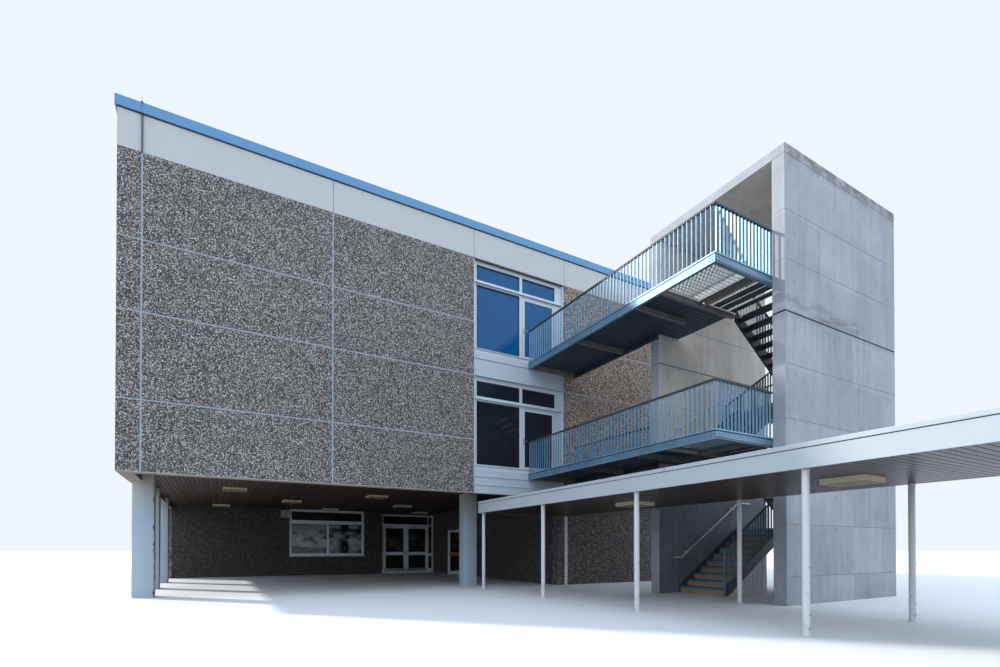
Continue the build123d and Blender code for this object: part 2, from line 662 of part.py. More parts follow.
def railing_on_flight(rising, y, low, high):
    """A sloping railing of flat bars on the inner stringer of a flight."""
    rise = (high - low) / (STEPS + 1)
    x0 = FLIGHT_FOOT_X if rising > 0 else FLIGHT_HEAD_X
    run = STEPS * STEP_GOING * rising
    foot = low + rise + STRINGER_UP
    slope = (high - low - rise) / run

    def band(above, thick):
        a = foot + above
        b = foot + slope * run + above
        return side_profile([(x0, a), (x0 + run, b), (x0 + run, b + thick), (x0, a + thick)],
                            y, y + RAILING_BAR)

    pieces = [band(0, RAILING_FOOT), band(RAILING - RAILING_CAP, RAILING_CAP)]
    t = RAILING_BAR_THICK / 2
    for x in bars(min(x0, x0 + run), max(x0, x0 + run)):
        z = foot + slope * (x - x0)
        low = z + RAILING_FOOT / 2
        high = z + RAILING - RAILING_CAP / 2
        pieces.append(block(x - t, x + t, y, y + RAILING_BAR, low, high))
    return fused(pieces)


def railings():
    """Railings of the walkways, of the flights and of the turns."""
    end_y = TOWER_INNER_FRONT
    panels = []
    for z in FLOORS:
        long_side = railing_along_y(WALKWAY_X, end_y + RAILING_BAR + SEAT, 0, z)
        end_side = railing_along_x(end_y, WALKWAY_X, TOWER_X, z)
        right_side = railing_along_y(TOWER_X - RAILING_BAR, TOWER_BACK_Y, 0, z)
        panels += [long_side, end_side, right_side]
    parts["walkway_railings"] = group(panels)
    back = TOWER_INNER_BACK - FLIGHT_WIDTH
    front = TOWER_INNER_FRONT + FLIGHT_WIDTH - RAILING_BAR
    panels = []
    for i in range(4):
        rising = 1 if i % 2 == 0 else -1
        y = back if rising > 0 else front
        panels.append(railing_on_flight(rising, y, STAIR_LEVELS[i], STAIR_LEVELS[i + 1]))
    for level in (STAIR_LEVELS[1], STAIR_LEVELS[3]):
        panels.append(railing_along_y(TOWER_END - RAILING_BAR, TOWER_INNER_FRONT, TOWER_INNER_BACK, level))
    parts["stair_railings"] = group(panels)


def wall_handrails():
    """Round handrails on brackets along the tower's back wall, one for each flight beside it."""
    y = TOWER_INNER_BACK - HANDRAIL_OFF_WALL
    rails = []
    for low, high in ((0, FIRST_FLOOR / 2), (FIRST_FLOOR, FIRST_FLOOR + STOREY / 2)):
        rise = (high - low) / (STEPS + 1)
        up = RAILING - RAILING_CAP
        a = (FLIGHT_FOOT_X - STEP_GOING, y, low + up)
        b = (FLIGHT_FOOT_X, y, low + up)
        c = (FLIGHT_HEAD_X, y, high - rise + up)
        d = (FLIGHT_HEAD_X + 2 * STEP_GOING, y, high - rise + up)
        path = Polyline(a, b, c, d)
        section = Plane(a, z_dir=(1, 0, 0)) * Circle(HANDRAIL_RADIUS)
        tube = sweep(section, path, transition=Transition.RIGHT)
        pieces = [tube]
        for t in HANDRAIL_BRACKETS_AT:
            x = b[0] + t * (c[0] - b[0])
            z = b[2] + t * (c[2] - b[2])
            bracket = Pos(x, (y + TOWER_INNER_BACK) / 2, z) * Rot(90, 0, 0) * Cylinder(
                HANDRAIL_RADIUS / 2, TOWER_INNER_BACK - y)
            pieces.append(bracket)
        rails.append(fused(pieces))
    parts["wall_handrails"] = group(rails)


def stair_screen():
    """Slatted screen that closes the low space under the inner stringer of the first flight."""
    y1 = TOWER_INNER_BACK - FLIGHT_WIDTH + STRINGER
    y0 = y1 - SLAT_THICK
    rise = FIRST_FLOOR / 2 / (STEPS + 1)
    slope = rise / STEP_GOING
    level = FLIGHT_FOOT_X + (STRINGER_DEPTH - rise) / slope
    end = level + SLATS * (SLAT + SLAT_GAP)
    rail_start = level + SCREEN_RAIL / slope
    foot_rail = [(level, 0), (end, 0), (end, SCREEN_RAIL), (rail_start, SCREEN_RAIL)]
    pieces = [side_profile(foot_rail, y0, y1)]
    for i in range(SLATS):
        a = level + i * (SLAT + SLAT_GAP) + SLAT_GAP
        b = a + SLAT
        top_a = slope * (a - level) - SEAT
        top_b = slope * (b - level) - SEAT
        pieces.append(side_profile([(a, 0), (b, 0), (b, top_b), (a, top_a)], y0, y1))
    return fused(pieces)


def canopy():
    """Covered way on round posts, running out from the front wall."""
    x0 = CANOPY_X
    x1 = CANOPY_X + CANOPY_WIDTH
    y0 = CANOPY_LAST_POST_Y - CANOPY_OVERHANG
    y1 = CANOPY_FIRST_POST_Y + CANOPY_OVERHANG
    z0 = CANOPY_SOFFIT - CANOPY_FASCIA_DROP
    t = CANOPY_FASCIA_THICK
    parts["canopy_fascia"] = ring(x0, x1, y0, y1, z0, z0 + CANOPY_FASCIA, t)
    parts["canopy_roof"] = block(
        x0 + t, x1 - t, y0 + t, y1 - t, CANOPY_SOFFIT, CANOPY_SOFFIT + CANOPY_SLAB)
    posts = []
    for i in range(CANOPY_BAYS + 1):
        y = CANOPY_FIRST_POST_Y - i * CANOPY_BAY
        for x in (x0 + CANOPY_POST_INSET, x1 - CANOPY_POST_INSET):
            posts.append(post(x, y, 0, CANOPY_SOFFIT, CANOPY_POST_RADIUS))
    parts["canopy_posts"] = group(posts)


def lightning_rod():
    """Thin rod beside the first panel joint, standing in front of the coping."""
    y = -COPING_LIP - ROD_RADIUS - SEAT
    return post(JOINT_1, y, CLADDING_TOP, FASCIA_TOP + COPING + ROD_ABOVE_COPING, ROD_RADIUS)


def build():
    outer_walls()
    roof_edge()
    floors()
    hall_pillars()
    hall_walls()
    hall_window()
    lights()
    hall_doors()
    side_door()
    glazed_strip()
    tower()
    stairs()
    parts["walkways"] = group(walkway(floor) for floor in FLOORS)
    railings()
    wall_handrails()
    parts["stair_screen"] = stair_screen()
    canopy()
    parts["lightning_rod"] = lightning_rod()


build()
os.makedirs("parts", exist_ok=True)
for name, shape in parts.items():
    solids = [solid.moved(Location((-CENTRE_X, -CENTRE_Y, 0))) for solid in shape.solids()]
    export_step(solids[0] if len(solids) == 1 else Compound(children=solids), "parts/%s.step" % name)
print(len(parts), "parts")
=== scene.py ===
"""Dresses the school building: cladding, boards, gratings, fittings and finishes round the packed solids."""
from collections import namedtuple
from math import atan, hypot, pi, radians

import bmesh
import bpy
from bpy.props import FloatProperty, FloatVectorProperty, PointerProperty
from mathutils import Matrix, Vector


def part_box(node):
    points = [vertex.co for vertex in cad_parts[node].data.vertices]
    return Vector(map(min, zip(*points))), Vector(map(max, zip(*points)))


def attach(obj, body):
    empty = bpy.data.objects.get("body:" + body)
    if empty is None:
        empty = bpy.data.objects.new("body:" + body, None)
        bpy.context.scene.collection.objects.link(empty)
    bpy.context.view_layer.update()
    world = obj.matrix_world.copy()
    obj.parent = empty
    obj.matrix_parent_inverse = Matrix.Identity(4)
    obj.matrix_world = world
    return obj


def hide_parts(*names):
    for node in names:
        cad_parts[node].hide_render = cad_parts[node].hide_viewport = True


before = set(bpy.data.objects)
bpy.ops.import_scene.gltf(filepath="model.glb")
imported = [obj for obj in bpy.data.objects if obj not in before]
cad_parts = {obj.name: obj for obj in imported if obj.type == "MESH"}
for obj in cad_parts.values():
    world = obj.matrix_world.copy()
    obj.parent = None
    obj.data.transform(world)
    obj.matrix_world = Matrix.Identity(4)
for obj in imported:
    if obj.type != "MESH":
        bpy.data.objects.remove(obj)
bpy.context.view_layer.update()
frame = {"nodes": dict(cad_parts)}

bl_info = {
    "name": "School Building",
    "version": (1, 0, 0),
    "blender": (4, 5, 0),
    "location": "View3D > Sidebar > School",
    "description": "Cladding, timber, steel and concrete of a two-storey school wing",
    "category": "Object",
}

NODES = frame["nodes"]
BODY = "building"
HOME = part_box("roof_fascia")[0]

# The block's grid in metres: X along the front and Y into the block, from its front left corner
LENGTH = 20.93
DEPTH = 21.675
GRID_X = (0.45, 4.605, 8.76, 12.17, 16.325, 20.48)
GRID_Y = (0.45, 4.605, 8.76, 12.915, 17.07, 21.225)
STRIP_X = GRID_X[2:4]
MULLION = 10.51
MIDDLES_X = tuple((a + b) / 2 for a, b in zip(GRID_X, GRID_X[1:]))
MIDDLES_Y = tuple((a + b) / 2 for a, b in zip(GRID_Y, GRID_Y[1:]))
WALL = 0.3

# Heights of the block: the facing, its level joints, floors, window sills and the roof
CLAD_FOOT = 2.94
CLAD_TOP = 10.14
SILLS = (4.57, 8.17)
LEVELS = (SILLS[0], 6.54, SILLS[1])
FLOORS = (3.66, 7.26)
GROUND_SILL = 0.9
ROOF = 10.9
FASCIA_TOP = 11.01
COPING_TOP = 11.24

# Windows of the side and back walls
WINDOW_HALF = 1.65
WINDOW_HEIGHT = 1.83
GROUND_WINDOW = 1.7

# The open hall and the covered way: back wall, ceilings, the undersides of their board gaps, posts
HALL_BACK = 11.45
CEILING = 3.14
BOARD_FACE = 3.118
CANOPY_CEILING = 2.35
CANOPY_FACE = 2.343
POST_X = (9.12, 12.26)
POST_PITCH = 3.25

# Walkways and stairs: decks, flights, turns between the floors, railings above their decks, the walls' main joint
WALKWAY_X = (10.73, 12.63)
FLANGE = 0.08
STAIR_FOOT = 13.42
STAIR_HEAD = 15.94
STAIR_Y = (-7.02, -3.74)
FRONT_FLIGHT = (STAIR_Y[0], -5.52)
BACK_FLIGHT = (-5.24, STAIR_Y[1])
STEP = 0.28
TREADS = 9
TURNS = (1.83, 5.46)
TURN_END = 17.44
RAILING = 1.03
MAIN_JOINT = 6.39

# The photograph's view: the camera's place in the model's frame, its turn in degrees and its lens's shift
CAMERA = (-8.514, -18.0745, 1.216)
CAMERA_TURN = (90.507, 0, -29.303)
LENS_SHIFT = 0.2114
SUN_FROM = (-0.8, 0.9, 0.78)


def at(x, y, z):
    """A point of the block's grid in the model's own frame."""
    return Vector((HOME.x + x, HOME.y + y, z))


def grid_box(node):
    """A solid's corners in the block's grid."""
    low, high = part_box(node)
    shift = Vector((HOME.x, HOME.y, 0))
    return low - shift, high - shift


# ---- Settings -------------------------------------------------------------------------------------


def length(label, about, default):
    """A length that the sidebar shows in the scene's unit."""
    return FloatProperty(name=label, description=about, default=default, min=0.0, unit="LENGTH")


def colour(label, about, default):
    """A colour that the sidebar shows as a swatch."""
    return FloatVectorProperty(
        name=label, description=about, default=default, size=3, min=0.0, max=1.0, subtype="COLOR")


class CladdingSettings(bpy.types.PropertyGroup):
    """Pebble-faced panels of the outer walls."""
    joint: length("Upright joint", "Width of the sealed upright joint between two panels", 0.036)
    seam: length("Level joint", "Width of the level joint between two panels", 0.026)
    proud: length("Panel face", "How far the panel faces stand before their joints", 0.006)
    pebble: length("Pebble", "Size of the stones in the panels' face", 0.024)
    stone_dark: colour("Dark stones", "Colour of the darkest stones", (0.035, 0.033, 0.031))
    stone_light: colour("Light stones", "Colour of the palest stones", (0.80, 0.76, 0.70))
    sealant: colour("Sealant", "Colour of the upright joints", (0.36, 0.43, 0.50))
    seam_paint: colour("Level joints", "Colour of the level joints", (0.36, 0.42, 0.48))


class RoofSettings(bpy.types.PropertyGroup):
    """Fascia, coping and roof covering."""
    fascia: colour("Fascia", "Colour of the painted fascia", (0.59, 0.595, 0.595))
    coping: colour("Coping", "Colour of the coping's sheet metal", (0.125, 0.32, 0.56))
    gravel: colour("Gravel", "Colour of the roof's gravel", (0.30, 0.29, 0.27))


class TimberSettings(bpy.types.PropertyGroup):
    """Boarded soffits and the push bar."""
    board: length("Board", "Width of one soffit board", 0.11)
    gap: length("Gap", "Gap between two boards", 0.012)
    stain: colour("Stain", "Colour of the stained boards", (0.036, 0.0165, 0.010))
    push_bar: colour("Push bar", "Colour of the varnished push bar", (0.50, 0.17, 0.035))


class SteelSettings(bpy.types.PropertyGroup):
    """Walkways, stairs and railings."""
    bar_pitch: length("Grating pitch", "Distance between the grating's bars", 0.05)
    bar: length("Grating bar", "Thickness of a grating bar", 0.008)
    zinc: colour("Zinc", "Colour of the galvanised steel", (0.21, 0.385, 0.54))
    beam: colour("Beam", "Colour of the weathered cross beams", (0.27, 0.245, 0.22))
    rail: colour("Top rail", "Colour of the dark top rails", (0.035, 0.045, 0.055))
    nosing: colour("Nosing", "Colour of the painted stair nosings", (0.03, 0.20, 0.30))
    riser: colour("Riser", "Colour of the weathered risers", (0.36, 0.23, 0.13))


class ConcreteSettings(bpy.types.PropertyGroup):
    """Stair tower, pillars and slabs."""
    concrete: colour("Concrete", "Colour of the fair-faced concrete", (0.415, 0.44, 0.475))
    # A pale warm tone painted on the tower's inner back wall and soffit as bounce light.
    bounce_light_tone: colour("Sheltered concrete", "Colour of the concrete inside the tower", (0.84, 0.75, 0.65))
    # The pillars' blue cast is partly painted skylight.
    paint: colour("Pillar paint", "Colour of the painted pillars", (0.49, 0.59, 0.68))
    tie_hole: length("Tie hole", "Radius of the formwork's tie holes", 0.026)


class GlassSettings(bpy.types.PropertyGroup):
    """Glass and painted frames."""
    frame: colour("Frame", "Colour of the painted frames", (0.64, 0.70, 0.75))
    # The hall's white frames are painted paler than the others, as painted light.
    bright: colour("Hall frame", "Colour of the frames in the hall", (0.84, 0.87, 0.90))
    sky: colour("Sky glass", "Colour of glass that shows the sky", (0.001, 0.084, 0.235))
    dark: colour("Dark glass", "Colour of glass before a dark room", (0.016, 0.015, 0.012))


class StageSettings(bpy.types.PropertyGroup):
    """Floor, light and camera."""
    floor: colour("Floor", "Colour of the floor", (0.72, 0.73, 0.74))
    sun: FloatProperty(name="Key light", description="Strength of the key light", default=3.4, min=0.0)
    sky: FloatProperty(name="Fill light", description="Strength of the light from all round", default=1.55, min=0.0)
    lens: FloatProperty(name="Lens", description="Focal length of the camera", default=18.164, unit="CAMERA")


SETTINGS = {
    "school_cladding": CladdingSettings,
    "school_roof": RoofSettings,
    "school_timber": TimberSettings,
    "school_steel": SteelSettings,
    "school_concrete": ConcreteSettings,
    "school_glass": GlassSettings,
    "school_stage": StageSettings,
}


# ---- Shader maths ---------------------------------------------------------------------------------


class Value:
    """A shader's output socket that can stand in an expression."""

    def __init__(self, finish, socket):
        self.finish = finish
        self.socket = socket

    def math(self, operation, first, second=0.0):
        return self.finish.add("ShaderNodeMath", {"operation": operation}, {0: first, 1: second})

    def __add__(self, other):
        return self.math("ADD", self, other)

    def __sub__(self, other):
        return self.math("SUBTRACT", self, other)

    def __rsub__(self, other):
        return self.math("SUBTRACT", other, self)

    def __mul__(self, other):
        return self.math("MULTIPLY", self, other)

    def __truediv__(self, other):
        return self.math("DIVIDE", self, other)

    def __rtruediv__(self, other):
        return self.math("DIVIDE", other, self)

    def __gt__(self, other):
        return self.math("GREATER_THAN", self, other)

    def __lt__(self, other):
        return self.math("LESS_THAN", self, other)

    def floor(self):
        return self.math("FLOOR", self)

    def absolute(self):
        return self.math("ABSOLUTE", self)

    def most(self, other):
        return self.math("MAXIMUM", self, other)

    def least(self, other):
        return self.math("MINIMUM", self, other)

    def between(self, start, end):
        """0 before start, 1 after end, smooth in between."""
        return self.finish.add(
            "ShaderNodeMapRange", {"interpolation_type": "SMOOTHSTEP"},
            {"Value": self, "From Min": start, "From Max": end})

    __radd__ = __add__
    __rmul__ = __mul__


FINISHES = {}


class Finish:
    """A material whose pattern is written as expressions on the piece's own coordinates."""

    def __init__(self, name):
        self.material = FINISHES[name] = bpy.data.materials.new(name)
        self.material.use_nodes = True
        self.tree = self.material.node_tree
        self.shader = self.tree.nodes["Principled BSDF"]
        self.place = self.add("ShaderNodeTexCoord", {}, {}, "Object")

    def add(self, kind, settings, inputs, output=0):
        """Adds a node of a type with its settings, then fills its sockets with values or links."""
        node = self.tree.nodes.new(kind)
        for key, value in settings.items():
            if key == "stops":
                ramp = node.color_ramp.elements
                while len(ramp) < len(value):
                    ramp.new(1.0)
                for stop, (position, look) in zip(ramp, value):
                    stop.position = position
                    stop.color = (*look, 1.0)
            else:
                setattr(node, key, value)
        for key, value in inputs.items():
            self.fill(node.inputs[key], value)
        return Value(self, node.outputs[output])

    def fill(self, socket, value):
        if isinstance(value, Value):
            self.tree.links.new(value.socket, socket)
        elif socket.type == "RGBA":
            socket.default_value = (*value, 1.0)
        else:
            socket.default_value = value

    def parts(self, vector):
        """The three parts of a vector."""
        split = self.tree.nodes.new("ShaderNodeSeparateXYZ")
        self.tree.links.new(vector.socket, split.inputs[0])
        return [Value(self, out) for out in split.outputs]

    def axes(self):
        """The three coordinates of a point."""
        return self.parts(self.place)

    def facing(self):
        """The three parts of the surface's direction."""
        return self.parts(self.add("ShaderNodeTexCoord", {}, {}, "Normal"))

    def stretched(self, x, y, z):
        """The coordinates, scaled on each axis."""
        return self.add("ShaderNodeVectorMath", {"operation": "MULTIPLY"}, {0: self.place, 1: (x, y, z)})

    def noise(self, scale, detail=2.0, roughness=0.5, place=None):
        return self.add("ShaderNodeTexNoise", {}, {
            "Vector": place or self.place, "Scale": scale, "Detail": detail, "Roughness": roughness})

    def cells(self, scale, output):
        """Stones or patches: their distance from the middle, or a colour each."""
        return self.add("ShaderNodeTexVoronoi", {}, {"Vector": self.place, "Scale": scale}, output)

    def random(self, value):
        """A number from 0 to 1 for each whole value."""
        return self.add("ShaderNodeTexWhiteNoise", {"noise_dimensions": "1D"}, {"W": value})

    def grey(self, look):
        """The brightness of a colour."""
        return self.add("ShaderNodeRGBToBW", {}, {0: look})

    def ramp(self, value, *stops):
        return self.add("ShaderNodeValToRGB", {"stops": stops}, {0: value})

    def mix(self, share, first, second, blend="MIX"):
        return self.add("ShaderNodeMix", {"data_type": "RGBA", "blend_type": blend},
                        {0: share, 6: first, 7: second}, 2)

    def tint(self, look, by):
        """A colour multiplied by another."""
        return self.mix(1.0, look, by, "MULTIPLY")

    def bump(self, height, distance, strength):
        normal = self.add("ShaderNodeBump", {}, {"Height": height, "Distance": distance, "Strength": strength})
        self.fill(self.shader.inputs["Normal"], normal)

    def surface(self, **sockets):
        """Fills the shader's sockets; words are joined as the sockets name them."""
        for key, value in sockets.items():
            self.fill(self.shader.inputs[key.replace("_", " ")], value)
        return self.material


def shade(colour_value, share):
    """A colour made darker or lighter by a share."""
    return tuple(min(1.0, part * share) for part in colour_value)


# ---- Modelling ------------------------------------------------------------------------------------


def clear():
    """Object mode, nothing selected."""
    if bpy.context.object and bpy.context.object.mode != "OBJECT":
        bpy.ops.object.mode_set(mode="OBJECT")
    bpy.ops.object.select_all(action="DESELECT")


def choose(piece):
    """Makes a piece the only selected one."""
    clear()
    piece.select_set(True)
    bpy.context.view_layer.objects.active = piece


def edit(piece, kind="FACE"):
    """Edit mode with everything selected."""
    choose(piece)
    bpy.ops.object.mode_set(mode="EDIT")
    bpy.ops.mesh.select_mode(type=kind)
    bpy.ops.mesh.select_all(action="SELECT")


def done():
    """Back to object mode."""
    bpy.ops.object.mode_set(mode="OBJECT")


def pick(piece, test, edges=False):
    """In edit mode, selects the faces or edges that pass a test, and nothing else."""
    bpy.ops.mesh.select_mode(type="EDGE" if edges else "FACE")
    bpy.ops.mesh.select_all(action="DESELECT")
    mesh = bmesh.from_edit_mesh(piece.data)
    for part in mesh.edges if edges else mesh.faces:
        if test(part):
            part.select_set(True)
    bmesh.update_edit_mesh(piece.data)


# Tests for faces and edges, by the way they look


def looks_up(face):
    return face.normal.z > 0.9


def looks_down(face):
    return face.normal.z < -0.9


def looks_out(face):
    return face.normal.y < -0.9


def square_to(axis):
    """Tests for faces square to an axis."""
    return lambda face: abs(face.normal[axis]) > 0.9


def upright(edge):
    return abs(edge.verts[0].co.z - edge.verts[1].co.z) > 0.05


def inset(piece, test, *steps, each=False):
    """Insets the faces of a piece that pass a test, once for each thickness and depth."""
    edit(piece)
    pick(piece, test)
    for thickness, depth in steps:
        bpy.ops.mesh.inset(thickness=thickness, depth=depth, use_individual=each)
    done()
    return piece


def extrude(*move):
    """Draws out the selected faces."""
    bpy.ops.mesh.extrude_region_move(TRANSFORM_OT_translate={"value": move})


def cut(axis, *places):
    """Cuts all of the mesh in edit mode square to an axis, at places in the model's frame."""
    normal = [float(i == axis) for i in range(3)]
    for place in places:
        bpy.ops.mesh.select_all(action="SELECT")
        bpy.ops.mesh.bisect(plane_co=[place * part for part in normal], plane_no=normal)


def cube(name, low, high):
    """Starts a piece as a block between two corners of the block's grid."""
    clear()
    a = at(*low)
    b = at(*high)
    bpy.ops.mesh.primitive_cube_add(size=1, location=(a + b) / 2, scale=b - a)
    piece = bpy.context.object
    piece.name = name
    bpy.ops.object.transform_apply()
    return piece


def bevel(piece, width, segments, test=None):
    """Rounds the edges of a piece, or those that pass a test."""
    edit(piece, "EDGE")
    if test:
        pick(piece, test, edges=True)
    bpy.ops.mesh.bevel(offset=width, segments=segments, affect="EDGES")
    done()
    return piece


def bar(name, low, high, width=0.003):
    """A block with its arrises taken off."""
    return bevel(cube(name, low, high), width, 1)


def rod(name, start, end, radius, sides=16):
    """A round bar between two points of the block's grid, its rims rounded."""
    clear()
    a = at(*start)
    b = at(*end)
    bpy.ops.mesh.primitive_cylinder_add(vertices=sides, radius=radius, depth=(b - a).length, location=(a + b) / 2)
    piece = bpy.context.object
    piece.name = name
    piece.rotation_euler = (b - a).to_track_quat("Z", "Y").to_euler()
    bpy.ops.object.transform_apply()
    axis = (b - a).normalized()
    bevel(piece, radius * 0.12, 1,
          lambda edge: abs((edge.verts[0].co - edge.verts[1].co).normalized().dot(axis)) < 0.5)
    return smooth(piece)


def smooth(piece, angle=35):
    """Shades a piece smooth but for edges sharper than an angle."""
    choose(piece)
    bpy.ops.object.shade_smooth_by_angle(angle=radians(angle))
    return piece


def array(piece, count, step):
    """Repeats a piece in a row."""
    choose(piece)
    bpy.ops.object.modifier_add(type="ARRAY")
    row = piece.modifiers[-1]
    row.count = count
    row.use_relative_offset = False
    row.use_constant_offset = True
    row.constant_offset_displace = step
    bpy.ops.object.modifier_apply(modifier=row.name)
    return piece


def turned(x, y, z, turn):
    """The move and the turn that bring a piece from the grid's corner to a place of the grid."""
    return at(x, y, z) - Matrix.Rotation(turn, 4, "Z") @ HOME.xy.to_3d(), turn


def copied(piece, moves):
    """Copies a piece by each move and turn about the upright axis, and joins the copies."""
    twins = []
    for move, turn in moves:
        twin = piece.copy()
        twin.data = piece.data.copy()
        bpy.context.scene.collection.objects.link(twin)
        twin.data.transform(Matrix.Translation(move) @ Matrix.Rotation(turn, 4, "Z"))
        twins.append(twin)
    name = piece.name
    bpy.data.objects.remove(piece)
    return joined(name, twins)


def joined(name, pieces):
    """Joins pieces into one."""
    clear()
    for piece in pieces:
        piece.select_set(True)
    bpy.context.view_layer.objects.active = pieces[0]
    if len(pieces) > 1:
        bpy.ops.object.join()
    piece = bpy.context.object
    piece.name = name
    return piece


def paint(piece, *materials):
    """Gives a piece its materials, the first for all faces until others are assigned."""
    piece.data.materials.clear()
    for material in materials:
        piece.data.materials.append(material)


def paint_where(piece, index, test):
    """Gives the faces that pass a test one of the piece's materials."""
    for face in piece.data.polygons:
        if test(face):
            face.material_index = index


def mount(piece, slot, *materials, body=BODY, replaces=()):
    """Paints a finished piece where materials are given, fixes it to its body and hides the solids that it replaces;
    its slot is not used.
    """
    if materials:
        paint(piece, *materials)
    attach(piece, body)
    if replaces:
        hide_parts(*replaces)


def finish_nodes(material, *names):
    """Gives packed solids a material."""
    for name in names:
        NODES[name].data.materials.clear()
        NODES[name].data.materials.append(material)


Facing = namedtuple("Facing", "joint seam proud materials slot")


def panels(name, facing, width, low, high, uprights, levels, holes):
    """A thin sheet of panels along X from 0, looking to -Y, with holes for windows (left, right, bottom, top)."""
    joint, seam = facing.joint / 2, facing.seam / 2
    clear()
    bpy.ops.mesh.primitive_plane_add(size=1, location=(width / 2, 0, (low + high) / 2), rotation=(pi / 2, 0, 0))
    sheet = bpy.context.object
    sheet.name = name
    sheet.scale = (width, high - low, 1)
    bpy.ops.object.transform_apply()
    edit(sheet)
    across = {x for hole in holes for x in hole[:2]} | {x + side for x in uprights for side in (-joint, joint)}
    up = {z for hole in holes for z in hole[2:]} | {z + side for z in levels for side in (-seam, seam)}
    cut(0, *sorted(across))
    cut(2, *sorted(up))

    def in_hole(face):
        middle = face.calc_center_median()
        return any(a < middle.x < b and c < middle.z < d for a, b, c, d in holes)

    def on_panel(face):
        middle = face.calc_center_median()
        return all(abs(middle.x - x) >= joint for x in uprights) and all(abs(middle.z - z) >= seam for z in levels)

    if holes:
        pick(sheet, in_hole)
        bpy.ops.mesh.delete(type="FACE")
    pick(sheet, on_panel)
    bpy.ops.mesh.inset(thickness=0.004, depth=facing.proud, use_boundary=True)
    done()
    choose(sheet)
    bpy.ops.object.modifier_add(type="SOLIDIFY")
    sheet.modifiers[-1].thickness = 0.001
    bpy.ops.object.modifier_apply(modifier=sheet.modifiers[-1].name)
    sheet.data.transform(Matrix.Translation((0, -0.0015, 0)))
    return sheet


def joint_faces(face):
    """Tests for the flat strips between the panels of a sheet that still lies along X."""
    return abs(face.normal.y) > 0.9 and -0.0019 < face.center.y < 0.001


def clad(name, facing, width, low, high, uprights, levels, corner, turn, holes=()):
    """One wall's panels, turned to the wall, upright joints in the second material and level ones in the third."""
    sheet = panels(name, facing, width, low, high, uprights, levels, holes)
    paint(sheet, *facing.materials)
    paint_where(sheet, 1, joint_faces)
    paint_where(sheet, 2, lambda face: joint_faces(face)
                and any(abs(face.center.z - z) < facing.seam / 2 for z in levels)
                and all(abs(face.center.x - x) > facing.joint / 2 for x in uprights))
    choose(sheet)
    sheet.rotation_euler = (0, 0, turn)
    sheet.location = at(*corner)
    bpy.ops.object.transform_apply()
    mount(sheet, facing.slot)


def boarded(name, low, high, along, pitch, gap, depth):
    """A slab whose underside is cut into boards that stand a little below their gaps."""
    slab = cube(name, low, high)
    edit(slab)
    axis = 0 if along == "y" else 1
    start, end = at(*low)[axis], at(*high)[axis]
    count = round((end - start) / pitch)
    cut(axis, *(start + (end - start) * i / count for i in range(1, count)))
    pick(slab, looks_down)
    bpy.ops.mesh.inset(thickness=gap / 2, depth=0, use_individual=True)
    bpy.ops.mesh.inset(thickness=0.001, depth=depth, use_individual=True)
    done()
    return slab


def band(name, low, high):
    """A thin band round a rectangle, open at its top and bottom."""
    line = cube(name, low, high)
    edit(line)
    pick(line, square_to(2))
    bpy.ops.mesh.inset(thickness=0.03, depth=0, use_individual=True)
    bpy.ops.mesh.bridge_edge_loops()
    done()
    return line


def weathered(sill, lip, ease, drop=0.012):
    """Slopes a sill by lowering its front, draws out its lip and eases its edges."""
    edit(sill)
    pick(sill, looks_out)
    bpy.ops.transform.translate(value=(0, 0, -drop))
    extrude(*lip)
    done()
    return bevel(sill, ease, 1)


def cast(name, low, high, xs, zs=(), groove=0.014):
    """A cast block whose sides show the edges of the formwork as fine grooves."""
    depth = 0.004
    small = Vector((depth, depth, 0))
    block = cube(name, low + small, high - small)
    edit(block)
    cut(0, *(HOME.x + x for x in xs))
    cut(2, *zs)
    pick(block, lambda face: abs(face.normal.z) < 0.5)
    bpy.ops.mesh.inset(thickness=groove / 2, depth=depth, use_individual=True)
    done()
    return block


def in_groove(levels, reach):
    """Tests for the faces in and beside the level grooves of a cast block."""
    return lambda face: abs(face.normal.z) < 0.99 and any(abs(face.center.z - z) < reach for z in levels)


# ---- Finishes -------------------------------------------------------------------------------------


